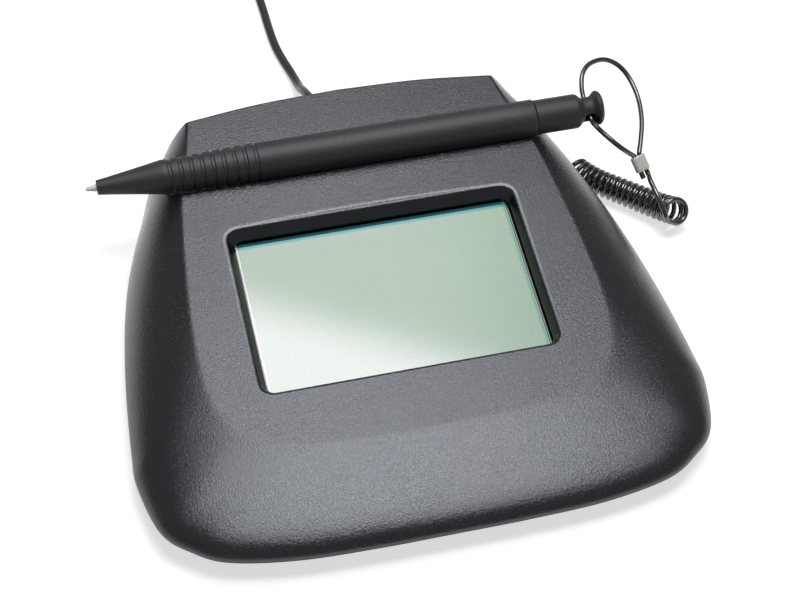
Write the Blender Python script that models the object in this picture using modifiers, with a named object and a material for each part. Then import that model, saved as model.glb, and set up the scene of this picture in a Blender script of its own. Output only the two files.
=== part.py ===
"""Desktop signature pad: lofted housing, touch screen stack, boards, tethered pen and USB lead.

Metres, +Z up. The table is z = 0, the pad's front faces -Y, and the origin lies under the
middle of the pad. The deck is a flat plane tilted about X, with its own frame, deck_frame().
"""
import math

import bmesh
import bpy
import numpy as np
from mathutils import Matrix, Vector

MM = 0.001
PART_NAME = "signature_pad"

# Whole pad
BODY_WIDTH = 156.0 * MM
BODY_DEPTH = 143.0 * MM
WALL = 2.4 * MM
FIT = 0.3 * MM
CUT_OVERRUN = 2.0 * MM
MERGE_DISTANCE = 0.01 * MM
HOLE_SIDES = 16
POST_SIDES = 14
SMALL_HOLE_SIDES = 12

# Deck plane, which carries the window and the pen groove
DECK_TILT = math.radians(6.0)
DECK_HEIGHT = 21.0 * MM
DECK_CENTRE_Y = 0.5 * MM

# Split between the top cover and the bottom case
SPLIT_HEIGHT = 6.4 * MM
SKIRT_TOP = 7.6 * MM
LIP_THICKNESS = 1.0 * MM
CASE_FLOOR = 2.0 * MM
CASE_TAPER = 3.2 * MM
CASE_EDGE = 0.8 * MM

# Window and screen stack, measured down from the deck along its normal
WINDOW_WIDTH = 78.6 * MM
WINDOW_HEIGHT = 50.8 * MM
WINDOW_RADIUS = 2.6 * MM
WINDOW_ROLL = 1.7 * MM
WINDOW_DEPTH = 3.2 * MM
WINDOW_FRAME = 2.2 * MM
GASKET_THICKNESS = 0.5 * MM
GASKET_WIDTH = 1.9 * MM
TOUCH_THICKNESS = 1.8 * MM
TOUCH_MARGIN = 3.0 * MM
LCD_THICKNESS = 2.0 * MM
LCD_MARGIN = 1.4 * MM
BACKLIGHT_THICKNESS = 2.2 * MM
LCD_BOARD_THICKNESS = 1.2 * MM

# Pen and its groove, in deck coordinates
PEN_LINE_Y = 48.0 * MM
PEN_AXIS_RISE = 1.9 * MM
PEN_RADIUS = 5.4 * MM
PEN_SIDES = 20
PEN_TIP_X = -73.7 * MM
PEN_NOSE_RADIUS = 2.1 * MM
PEN_NOSE_LENGTH = 18.4 * MM
PEN_GRIP_RADIUS = 4.9 * MM
PEN_GRIP_GROOVES = 9
PEN_GRIP_PITCH = 3.06 * MM
PEN_GRIP_GROOVE_WIDTH = 1.2 * MM
PEN_GRIP_GROOVE_DEPTH = 0.4 * MM
PEN_GRIP_GROOVE_FLOOR_SHARE = 0.5
PEN_NOSE_SWELL = 1.08
PEN_GRIP_START = 2.1 * MM
PEN_WALL = 1.3 * MM
PEN_JOINT_X = 52.7 * MM
NIB_RADIUS = 1.0 * MM
NIB_TIP_RADIUS = 0.55 * MM
NIB_OUT = 2.7 * MM
NIB_IN = 6.0 * MM
NIB_SIDES = 16
CAP_RADIUS = 5.0 * MM
CAP_BARREL = 13.0 * MM
CAP_CHAMFER = 1.4 * MM
CAP_NECK_RADIUS = 3.5 * MM
CAP_NECK = 4.0 * MM
CAP_DISC_RADIUS = 5.0 * MM
CAP_DISC = 2.0 * MM
CAP_SPIGOT = 7.0 * MM
CAP_HOLE_RADIUS = 1.35 * MM
CAP_WAIST_SHARE = 0.2

# Rubber feet and case screws
FOOT_HEIGHT = 2.6 * MM
FOOT_RADIUS = 5.0 * MM
FOOT_SEAT = 0.8 * MM
FOOT_SIDES = 20
FOOT_PLACES_SHARE = ((-0.72, -0.66), (0.72, -0.66), (-0.46, 0.74), (0.46, 0.74))
BOSS_RADIUS = 3.2 * MM
SCREW_RADIUS = 1.3 * MM
SCREW_SIDES = 12
SCREW_HEAD_RADIUS = 2.6 * MM
SCREW_HEAD = 1.6 * MM
SCREW_LENGTH = 7.5 * MM
SCREW_HEAD_CROWN_SHARE = 0.72
SCREW_HEAD_EDGE_SHARE = 0.55
SCREW_TIP_SHARE = 0.85
SCREW_PLACES_SHARE = ((-0.80, -0.40), (0.80, -0.40), (-0.65, 0.60), (0.65, 0.60))

# Boards and what they carry
CASE_UNDERSIDE = FOOT_HEIGHT - FOOT_SEAT
BOSS_BOTTOM = 7.0 * MM
SCREW_SEAT = 4.6 * MM
WELL_RADIUS = 4.4 * MM
GROOVE_CLEARANCE = 0.3 * MM
GROOVE_WALL = 2.0 * MM
GROOVE_SIDES = 36
BOARD_SIDE_GAP = 4.3 * MM
BOARD_FRONT_GAP = 2.3 * MM
BOARD_BACK_GAP = 7.8 * MM
BOARD_THICKNESS = 1.6 * MM
BOARD_HEIGHT = 7.2 * MM
BOARD_SCREW_EDGE = 4.0 * MM
BOARD_SCREW_RADIUS = 1.0 * MM
BOARD_SCREW_HEAD_RADIUS = 2.0 * MM
BOARD_SCREW_HEAD = 1.3 * MM
BOARD_SCREW_LENGTH = 4.2 * MM
STANDOFF_RADIUS = 2.6 * MM
POST_RADIUS = 2.4 * MM
# Flat packages and connectors: length, width and height, and their places on the half board
CHIP_SIZES = {
    "controller_chip": (10.0 * MM, 10.0 * MM, 1.4 * MM),
    "touch_chip": (7.0 * MM, 7.0 * MM, 1.2 * MM),
    "lcd_connector": (20.0 * MM, 4.0 * MM, 2.4 * MM),
    "touch_connector": (8.0 * MM, 4.0 * MM, 2.4 * MM),
    "usb_header": (11.0 * MM, 5.6 * MM, 6.4 * MM)}
CHIP_PLACE_SHARES = {
    "controller_chip": (-0.38, 0.05),
    "touch_chip": (0.36, 0.10),
    "lcd_connector": (0.00, -0.72),
    "touch_connector": (0.56, -0.72),
    "usb_header": (0.00, 0.22)}
USB_HEADER_ENTRY_SHARE = 0.6
CAPACITOR_PLACE_SHARES = {"capacitor_left": (-0.66, 0.40), "capacitor_right": (0.66, 0.50)}
CAPACITOR_RADIUS = 2.5 * MM
CAPACITOR_HEIGHT = 6.0 * MM
CRYSTAL_PLACE_SHARE = (-0.63, -0.20)
CRYSTAL_LENGTH = 7.6 * MM
CRYSTAL_WIDTH = 3.4 * MM
CRYSTAL_HEIGHT = 2.6 * MM
FLEX_THICKNESS = 0.3 * MM
FLEX_STEPS = 4
LCD_FLEX_WIDTH = 16.0 * MM
TOUCH_FLEX_WIDTH = 6.0 * MM
# Along and down between the layer that a flex leaves and its connector
FLEX_PATH_SHARES = ((0.00, 0.00), (0.30, 0.10), (0.50, 0.62), (0.75, 1.00))

# USB lead: exit, moulded relief, cable, put-away coil, tie and plug
USB_EXIT_X = -5.5 * MM
USB_EXIT_HEIGHT = 12.8 * MM
RELIEF_FLANGE_RADIUS = 4.2 * MM
RELIEF_FLANGE = 1.5 * MM
RELIEF_NECK_RADIUS = 3.0 * MM
RELIEF_COLLAR_RADIUS = 3.9 * MM
RELIEF_COLLAR = 1.6 * MM
RELIEF_LENGTH = 9.0 * MM
RELIEF_TAIL_RADIUS = 2.0 * MM
RELIEF_RIBS = 3
RELIEF_SIDES = 16
# Ends of a rib and of the groove below it, down from the rib's top
RELIEF_RIB_SHARES = (0.5, 1.3, 1.4, 1.9)
CABLE_RADIUS = 1.35 * MM
COIL_CENTRE = (-33.4 * MM, 178.0 * MM)
COIL_MEAN_RADIUS = 16.0 * MM
COIL_STEP = 3.2 * MM
COIL_LAYERS = 4
COIL_TURNS_PER_LAYER = 4
COIL_POINTS_PER_TURN = 18
COIL_BASE = 2.6 * MM
TIE_WIDTH = 8.0 * MM
TIE_THICKNESS = 0.8 * MM
TIE_ANGLE = math.radians(215.0)
PLUG_BODY_LENGTH = 24.0 * MM
PLUG_BODY_WIDTH = 15.4 * MM
PLUG_BODY_HEIGHT = 7.6 * MM
PLUG_COLLAR_RADIUS = 2.6 * MM
PLUG_COLLAR_END_RADIUS = 2.1 * MM
PLUG_COLLAR = 6.0 * MM
PLUG_SHELL_LENGTH = 12.0 * MM
PLUG_SHELL_WIDTH = 12.0 * MM
PLUG_SHELL_HEIGHT = 4.5 * MM
PLUG_SHELL_WALL = 0.5 * MM
PLUG_TONGUE_HEIGHT = 1.8 * MM
PLUG_COLLAR_SIDES = 20

# Pen tether: grommet, curly cord, ferrule and loop
TETHER_EXIT_X = 34.0 * MM
TETHER_EXIT_HEIGHT = 12.8 * MM
GROMMET_FLANGE_RADIUS = 2.6 * MM
GROMMET_FLANGE = 1.2 * MM
GROMMET_NECK_RADIUS = 1.7 * MM
GROMMET_TAIL = 2.4 * MM
GROMMET_SIDES = 16
STOP_SIDES = 16
# Radius and depth of the crimped bead's outline, in shares of its own radius
STOP_OUTLINE_SHARES = ((0.7, 0.0), (1.0, 0.6), (1.0, 1.6), (0.7, 2.2))
TETHER_RADIUS = 0.75 * MM
CURL_START_RADIUS = 2.9 * MM
CURL_END_RADIUS = 3.0 * MM
CURL_PITCH = 2.3 * MM
CURL_POINTS = 9
CURL_END_ANGLE = math.radians(-40.0)
CURL_GROWTH_TURNS = 2.0
FERRULE_WIDTH = 4.6 * MM
FERRULE_THICKNESS = 2.7 * MM
FERRULE_CORD_SPACING = 1.9 * MM
TETHER_TAIL = 1.8 * MM

# Routes, chosen by hand, in metres
USB_ROUTE = (
    (-6.3 * MM, 91.6 * MM, 9.4 * MM), (-6.2 * MM, 97.4 * MM, 5.0 * MM), (-6.5 * MM, 103.6 * MM, 2.6 * MM),
    (-7.2 * MM, 109.0 * MM, 1.6 * MM), (-8.4 * MM, 114.6 * MM, 1.5 * MM), (-9.4 * MM, 121.0 * MM, 1.5 * MM),
    (-9.8 * MM, 129.0 * MM, 1.5 * MM), (-9.9 * MM, 138.2 * MM, 1.5 * MM), (-10.2 * MM, 149.0 * MM, 1.5 * MM),
    (-10.7 * MM, 160.0 * MM, 1.9 * MM))
TETHER_ROUTE = (
    (35.4 * MM, 78.8 * MM, 9.4 * MM), (38.0 * MM, 78.6 * MM, 4.6 * MM), (42.6 * MM, 76.2 * MM, 1.6 * MM),
    (49.6 * MM, 73.4 * MM, 1.0 * MM), (56.4 * MM, 71.0 * MM, 1.0 * MM), (60.6 * MM, 65.0 * MM, 1.0 * MM),
    (63.2 * MM, 58.0 * MM, 1.4 * MM), (65.6 * MM, 51.6 * MM, 2.8 * MM), (68.4 * MM, 45.8 * MM, 3.8 * MM),
    (72.2 * MM, 40.7 * MM, 3.85 * MM), (77.5 * MM, 36.0 * MM, 3.85 * MM), (82.6 * MM, 31.4 * MM, 3.95 * MM),
    (87.0 * MM, 27.4 * MM, 4.4 * MM), (90.6 * MM, 23.4 * MM, 5.6 * MM))
CURL_FIRST = 7
LEAD_ROUTE = (
    (85.7 * MM, 19.9 * MM, 9.4 * MM), (84.7 * MM, 24.3 * MM, 12.0 * MM), (84.0 * MM, 29.2 * MM, 13.4 * MM))
FERRULE_TOP = (81.6 * MM, 36.4 * MM, 17.4 * MM)
FERRULE_BOTTOM = (82.9 * MM, 33.3 * MM, 14.2 * MM)
FERRULE_TURN = math.radians(14.3)
LOOP_FRONT_ROUTE = (
    (77.9 * MM, 36.6 * MM, 20.1 * MM), (74.8 * MM, 38.1 * MM, 22.6 * MM), (72.2 * MM, 40.1 * MM, 24.9 * MM))
LOOP_BACK_ROUTE = (
    (69.4 * MM, 55.6 * MM, 29.4 * MM), (70.9 * MM, 59.9 * MM, 30.6 * MM), (74.0 * MM, 63.0 * MM, 31.0 * MM),
    (78.7 * MM, 64.3 * MM, 30.5 * MM), (82.8 * MM, 63.0 * MM, 28.7 * MM), (85.4 * MM, 59.4 * MM, 26.4 * MM),
    (86.4 * MM, 53.3 * MM, 23.9 * MM), (85.4 * MM, 46.6 * MM, 21.5 * MM), (83.6 * MM, 41.0 * MM, 19.6 * MM))

CASE_BLACK = (0.030, 0.031, 0.036)
BOARD_GREEN = (0.02, 0.16, 0.07)
CORD_BLACK = (0.012, 0.012, 0.012)
RUBBER_BLACK = (0.02, 0.02, 0.02)
BRIGHT_METAL = (0.60, 0.60, 0.60)

# Half outlines of the pad seen from above, from the middle of the back to the middle of the front.
# The skirt is in shares of half the width and half the depth; the deck likewise, along the slope.
SKIRT_OUTLINE_SHARES = (
    (0.000, 1.000), (0.300, 0.990), (0.630, 0.966), (0.704, 0.946),
    (0.757, 0.843), (0.800, 0.705), (0.848, 0.560), (0.900, 0.370), (0.941, 0.147),
    (0.975, -0.133), (0.996, -0.420), (0.997, -0.560), (0.952, -0.765), (0.868, -0.866),
    (0.752, -0.940), (0.525, -0.986), (0.256, -0.999), (0.000, -1.000))
DECK_OUTLINE_SHARES = (
    (0.000, 0.996), (0.295, 0.984), (0.535, 0.954), (0.578, 0.946),
    (0.603, 0.815), (0.631, 0.700), (0.660, 0.560), (0.688, 0.336), (0.708, 0.112),
    (0.719, -0.112), (0.712, -0.310), (0.685, -0.430), (0.628, -0.522), (0.545, -0.578),
    (0.430, -0.608), (0.310, -0.622), (0.155, -0.630), (0.000, -0.632))
# Shoulder of the flare at each station: how far across and up it lies, and how strongly it pulls.
SHOULDER_SHARES = (
    (0.50, 0.50, 1.0), (0.50, 0.50, 1.0), (0.48, 0.52, 1.0), (0.30, 0.62, 1.0),
    (0.26, 0.70, 1.0), (0.26, 0.72, 1.0), (0.27, 0.73, 1.0), (0.27, 0.73, 1.0), (0.27, 0.73, 1.0),
    (0.25, 0.74, 1.0), (0.19, 0.72, 1.1), (0.12, 0.66, 1.3), (0.07, 0.58, 1.6), (0.06, 0.50, 1.8),
    (0.05, 0.42, 2.0), (0.05, 0.36, 2.1), (0.05, 0.34, 2.2), (0.05, 0.33, 2.2))
BACK_EDGE_STEPS = 3
STATION_STEPS = 2
FLARE_RINGS = 6


def clear_scene():
    for old in list(bpy.data.objects):
        bpy.data.objects.remove(old, do_unlink=True)


def new_collection(name):
    made = bpy.data.collections.new(name)
    bpy.context.scene.collection.children.link(made)
    return made


clear_scene()
PARTS = new_collection(PART_NAME)
CUTTERS = new_collection("cutters")


def plain_material(name, colour, roughness, metallic=0.0):
    made = bpy.data.materials.new(name)
    made.use_nodes = True
    shader = made.node_tree.nodes["Principled BSDF"]
    shader.inputs["Base Color"].default_value = (*colour, 1.0)
    shader.inputs["Roughness"].default_value = roughness
    shader.inputs["Metallic"].default_value = metallic
    return made


def keep_part(piece, colour, roughness, metallic=0.0):
    """Put a finished piece in the part's collection, with its own material."""
    for holder in list(piece.users_collection):
        holder.objects.unlink(piece)
    PARTS.objects.link(piece)
    piece.data.materials.clear()
    piece.data.materials.append(plain_material(piece.name, colour, roughness, metallic))
    return piece


def keep_cutter(piece):
    for holder in list(piece.users_collection):
        holder.objects.unlink(piece)
    CUTTERS.objects.link(piece)
    piece.hide_render = True
    piece.display_type = "WIRE"
    return piece


def object_from_bmesh(name, work):
    mesh = bpy.data.meshes.new(name)
    work.to_mesh(mesh)
    work.free()
    piece = bpy.data.objects.new(name, mesh)
    bpy.context.scene.collection.objects.link(piece)
    return piece


def smooth_rounds(piece, sharp_angle=math.radians(35.0)):
    piece.data.shade_smooth()
    piece.data.set_sharp_from_angle(angle=sharp_angle)
    return piece


def cut(piece, tool, operation="DIFFERENCE"):
    step = piece.modifiers.new(tool.name, "BOOLEAN")
    step.operation = operation
    step.solver = "EXACT"
    step.object = tool
    return piece


def deck_frame():
    """Frame whose X and Y lie in the deck and whose Z is the deck's normal."""
    place = Matrix.Translation((0.0, DECK_CENTRE_Y, DECK_HEIGHT))
    return place @ Matrix.Rotation(DECK_TILT, 4, "X")


def on_deck(x, y, up=0.0):
    return deck_frame() @ Vector((x, y, up))


def box(name, size, centre, frame=None, round_edges=0.0):
    work = bmesh.new()
    bmesh.ops.create_cube(work, size=1.0)
    bmesh.ops.scale(work, vec=size, verts=work.verts)
    piece = object_from_bmesh(name, work)
    piece.matrix_world = (frame or Matrix.Identity(4)) @ Matrix.Translation(centre)
    if round_edges > 0.0:
        bevel = piece.modifiers.new("rounded edges", "BEVEL")
        bevel.width = min(round_edges, min(size) / 2.5)
        bevel.segments = 2
        bevel.limit_method = "ANGLE"
    return piece


def cylinder(name, radius, depth, centre, frame=None, sides=24, top_radius=None):
    work = bmesh.new()
    upper = radius if top_radius is None else top_radius
    bmesh.ops.create_cone(work, cap_ends=True, segments=sides, radius1=radius, radius2=upper, depth=depth)
    piece = object_from_bmesh(name, work)
    piece.matrix_world = (frame or Matrix.Identity(4)) @ Matrix.Translation(centre)
    return smooth_rounds(piece)


def turned(name, profile, frame, sides=24, hollow=False):
    """Solid of revolution about its frame's Z. The (radius, height) points run down the outer side,
    and a hollow piece's go on up its bore."""
    work = bmesh.new()
    line = [work.verts.new((radius, 0.0, height)) for radius, height in profile]
    for first, second in zip(line, line[1:]):
        work.edges.new((first, second))
    if hollow:
        work.edges.new((line[-1], line[0]))
    piece = object_from_bmesh(name, work)
    screw = piece.modifiers.new("turn", "SCREW")
    screw.steps = sides
    screw.render_steps = sides
    screw.use_merge_vertices = True
    screw.merge_threshold = MERGE_DISTANCE
    screw.use_smooth_shade = True
    piece.matrix_world = frame
    return piece


def plate(name, outline, thickness, frame, bottom=0.0):
    """Flat plate: a filled outline, (x, y) points, extruded up from the frame's plane."""
    flat = bpy.data.curves.new(name, "CURVE")
    flat.dimensions = "2D"
    flat.fill_mode = "BOTH"
    flat.extrude = thickness / 2.0
    for loop in outline:
        edge = flat.splines.new("POLY")
        edge.points.add(len(loop) - 1)
        for point, (x, y) in zip(edge.points, loop):
            point.co = (x, y, 0.0, 1.0)
        edge.use_cyclic_u = True
    guide = bpy.data.objects.new(name + " outline", flat)
    bpy.context.scene.collection.objects.link(guide)
    guide.matrix_world = frame @ Matrix.Translation((0.0, 0.0, bottom + thickness / 2.0))
    return solid_from_curve(guide, name)


def solid_from_curve(guide, name):
    """Turn an evaluated curve object into a closed mesh and drop the curve."""
    bpy.context.view_layer.update()
    seen = guide.evaluated_get(bpy.context.evaluated_depsgraph_get())
    mesh = bpy.data.meshes.new_from_object(seen)
    work = bmesh.new()
    work.from_mesh(mesh)
    bmesh.ops.remove_doubles(work, verts=work.verts, dist=MERGE_DISTANCE)
    bmesh.ops.recalc_face_normals(work, faces=work.faces)
    piece = object_from_bmesh(name, work)
    piece.matrix_world = guide.matrix_world
    bpy.data.meshes.remove(mesh)
    bpy.data.objects.remove(guide, do_unlink=True)
    return piece


def rounded_rectangle(width, height, radius, arc_steps=4):
    """Corner arcs of a rectangle about the origin, anticlockwise."""
    points = []
    for quarter in range(4):
        middle_x = (width / 2.0 - radius) * (1 if quarter in (0, 3) else -1)
        middle_y = (height / 2.0 - radius) * (1 if quarter in (0, 1) else -1)
        for step in range(arc_steps + 1):
            angle = math.pi / 2.0 * (quarter + step / arc_steps)
            points.append((middle_x + radius * math.cos(angle), middle_y + radius * math.sin(angle)))
    return points


def smooth_path(stations, steps, sharp=()):
    """Points on a Catmull-Rom curve through the stations, which stops its roundness at sharp ones."""
    line = np.array(stations, dtype=float)
    breaks = [0, *sharp, len(line) - 1]
    run = []
    for first, last in zip(breaks, breaks[1:]):
        part = line[first:last + 1]
        ends = np.vstack([2.0 * part[0] - part[1], part, 2.0 * part[-1] - part[-2]])
        for index in range(len(part) - 1):
            before, start, stop, after = ends[index:index + 4]
            for step in range(steps):
                share = step / steps
                run.append(0.5 * (2.0 * start + (stop - before) * share
                                  + (2.0 * before - 5.0 * start + 4.0 * stop - after) * share ** 2
                                  + (3.0 * start - before - 3.0 * stop + after) * share ** 3))
    run.append(line[-1])
    return np.array(run)


def station_table(skirt_inset=0.0, deck_inset=0.0):
    """Half outlines as rows of skirt x, y, deck x, y and shoulder values, drawn in by the insets."""
    skirt = np.array(SKIRT_OUTLINE_SHARES) * (BODY_WIDTH / 2.0, BODY_DEPTH / 2.0)
    deck = np.array(DECK_OUTLINE_SHARES) * (BODY_WIDTH / 2.0, BODY_DEPTH / 2.0)
    skirt = inset_half(skirt, skirt_inset)
    deck = inset_half(deck, deck_inset)
    return np.column_stack([skirt, deck, np.array(SHOULDER_SHARES)])


def mirror_half(half):
    """Close a half outline by its mirror image about X = 0; x values are in the even columns."""
    mirrored = half[1:-1][::-1].copy()
    mirrored[:, 0] *= -1.0
    if mirrored.shape[1] > 3:
        mirrored[:, 2] *= -1.0
    return np.vstack([half, mirrored])


def inset_half(half, distance):
    """Offset a half outline inwards, with mitred corners, keeping its ends on X = 0."""
    loop = mirror_half(half)
    ahead = np.roll(loop, -1, axis=0) - loop
    ahead /= np.linalg.norm(ahead, axis=1)[:, None]
    behind = np.roll(ahead, 1, axis=0)
    bisector = ahead + behind
    half_turn = np.linalg.norm(bisector, axis=1) / 2.0
    bisector /= np.linalg.norm(bisector, axis=1)[:, None]
    inward = np.column_stack([bisector[:, 1], -bisector[:, 0]])
    moved = loop + inward * (distance / half_turn)[:, None]
    return moved[:len(half)]


def outline_loop(skirt_inset=0.0, deck_inset=0.0):
    """Whole smooth outlines, clockwise from the middle of the back."""
    half = smooth_path(station_table(skirt_inset, deck_inset), STATION_STEPS, (BACK_EDGE_STEPS,))
    return mirror_half(half)


def loft(name, rings):
    """Closed solid through matched rings of (x, y, z) points, lowest ring first."""
    work = bmesh.new()
    rows = [[work.verts.new(point) for point in ring] for ring in rings]
    count = len(rows[0])
    for low, high in zip(rows, rows[1:]):
        for index in range(count):
            follow = (index + 1) % count
            work.faces.new((low[index], low[follow], high[follow], high[index]))
    work.faces.new(list(reversed(rows[0])))
    work.faces.new(rows[-1])
    bmesh.ops.recalc_face_normals(work, faces=work.faces)
    return object_from_bmesh(name, work)


def ring_at(points, height):
    return np.column_stack([points, np.full(len(points), height)])


def deck_ring(points, up=0.0):
    """Deck outline points, given along the slope, set in world space and raised by up."""
    frame = deck_frame()
    return np.array([frame @ Vector((x, y, up)) for x, y in points])


def flare_rings(skirt, deck, shoulder, skirt_top, rings):
    """Rings from the skirt to the deck: a quadratic arc pulled towards its shoulder."""
    made = []
    base = ring_at(skirt, skirt_top)
    for step in range(1, rings + 1):
        share = step / rings
        pull = 2.0 * shoulder[:, 2] * share * (1.0 - share)
        total = (1.0 - share) ** 2 + pull + share ** 2
        across = (pull * shoulder[:, 0] + share ** 2) / total
        climb = (pull * shoulder[:, 1] + share ** 2) / total
        ring = base.copy()
        ring[:, :2] += (deck[:, :2] - base[:, :2]) * across[:, None]
        ring[:, 2] += (deck[:, 2] - base[:, 2]) * climb
        made.append(ring)
    return made


def outer_cover_solid():
    loop = outline_loop()
    rings = [ring_at(loop[:, :2], SPLIT_HEIGHT), ring_at(loop[:, :2], SKIRT_TOP)]
    rings += flare_rings(loop[:, :2], deck_ring(loop[:, 2:4]), loop[:, 4:], SKIRT_TOP, FLARE_RINGS)
    return loft("top_cover", rings)


def inner_cover_space():
    """Hollow under the cover: the same loft drawn in by the wall."""
    loop = outline_loop(WALL, WALL)
    low = SPLIT_HEIGHT - CUT_OVERRUN
    rings = [ring_at(loop[:, :2], low), ring_at(loop[:, :2], SKIRT_TOP)]
    rings += flare_rings(loop[:, :2], deck_ring(loop[:, 2:4], -WALL), loop[:, 4:], SKIRT_TOP, FLARE_RINGS // 2)
    return keep_cutter(loft("cover hollow", rings))


def window_outline(grow=0.0):
    return rounded_rectangle(WINDOW_WIDTH + 2.0 * grow, WINDOW_HEIGHT + 2.0 * grow, WINDOW_RADIUS + grow)


def window_cutter():
    """Rounded opening whose rim rolls over into the deck."""
    frame = deck_frame()
    steps = 4
    levels = [(-WINDOW_DEPTH - CUT_OVERRUN, 0.0), (-WINDOW_ROLL, 0.0)]
    for step in range(1, steps + 1):
        angle = math.pi / 2.0 * step / steps
        levels.append((-WINDOW_ROLL * (1.0 - math.sin(angle)), WINDOW_ROLL * (1.0 - math.cos(angle))))
    levels.append((CUT_OVERRUN, WINDOW_ROLL + CUT_OVERRUN))
    rings = [[frame @ Vector((x, y, up)) for x, y in window_outline(grow)] for up, grow in levels]
    return keep_cutter(loft("window opening", rings))


def deck_bar(name, radius, y, up, length):
    """Cylinder cutter that lies along the deck's X."""
    turn = deck_frame() @ Matrix.Translation((0.0, y, up)) @ Matrix.Rotation(math.pi / 2.0, 4, "Y")
    return keep_cutter(cylinder(name, radius, length, (0.0, 0.0, 0.0), turn, GROOVE_SIDES))


def screw_places():
    return [(x * BODY_WIDTH / 2.0, y * BODY_DEPTH / 2.0) for x, y in SCREW_PLACES_SHARE]


def foot_places():
    return [(x * BODY_WIDTH / 2.0, y * BODY_DEPTH / 2.0) for x, y in FOOT_PLACES_SHARE]


def back_wall_frame(x, height):
    """Frame on the outside of the back wall at x, with Z pointing straight out of the wall."""
    loop = outline_loop()
    back = loop[(loop[:, 1] > 0.0) & (loop[:, 0] >= -BODY_WIDTH / 4.0) & (loop[:, 0] <= BODY_WIDTH / 4.0)]
    back = back[np.argsort(back[:, 0])]
    y = float(np.interp(x, back[:, 0], back[:, 1]))
    ahead = float(np.interp(x + WALL, back[:, 0], back[:, 1]))
    slope = math.atan2(ahead - y, WALL)
    return (Matrix.Translation((x, y, height)) @ Matrix.Rotation(slope, 4, "Z")
            @ Matrix.Rotation(-math.pi / 2.0, 4, "X"))


def vertical_space(name, radius, low, high, x, y, sides=POST_SIDES):
    return keep_cutter(cylinder(name, radius, high - low, (x, y, (low + high) / 2.0), None, sides))


def top_cover():
    cover = outer_cover_solid()
    hollow = inner_cover_space()
    trough_radius = PEN_RADIUS + GROOVE_CLEARANCE + GROOVE_WALL
    cut(hollow, deck_bar("groove trough", trough_radius, PEN_LINE_Y, PEN_AXIS_RISE, 2.0 * BODY_WIDTH))
    rim_size = (WINDOW_WIDTH + 2.0 * WINDOW_FRAME, WINDOW_HEIGHT + 2.0 * WINDOW_FRAME, 2.0 * WINDOW_DEPTH)
    cut(hollow, keep_cutter(box("window rim", rim_size, (0.0, 0.0, 0.0), deck_frame())))
    for index, (x, y) in enumerate(screw_places()):
        low = BOSS_BOTTOM
        cut(hollow, vertical_space(f"boss {index + 1}", BOSS_RADIUS, low, 2.0 * DECK_HEIGHT, x, y))
    cut(cover, hollow)
    for index, (x, y) in enumerate(screw_places()):
        low, high = BOSS_BOTTOM - CUT_OVERRUN, SCREW_SEAT + SCREW_LENGTH + FIT
        cut(cover, vertical_space(f"pilot hole {index + 1}", SCREW_RADIUS + FIT, low, high, x, y,
                                  SMALL_HOLE_SIDES))
    cut(cover, window_cutter())
    groove_radius = PEN_RADIUS + GROOVE_CLEARANCE
    cut(cover, deck_bar("pen groove", groove_radius, PEN_LINE_Y, PEN_AXIS_RISE, 2.0 * BODY_WIDTH))
    cut(cover, wall_hole("lead hole", USB_EXIT_X, USB_EXIT_HEIGHT, RELIEF_NECK_RADIUS + FIT))
    cut(cover, wall_hole("tether hole", TETHER_EXIT_X, TETHER_EXIT_HEIGHT, GROMMET_NECK_RADIUS + FIT))
    return keep_part(cover, CASE_BLACK, 0.55)


def wall_hole(name, x, height, radius):
    frame = back_wall_frame(x, height)
    return keep_cutter(cylinder(name, radius, 4.0 * WALL, (0.0, 0.0, 0.0), frame, HOLE_SIDES))


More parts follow.
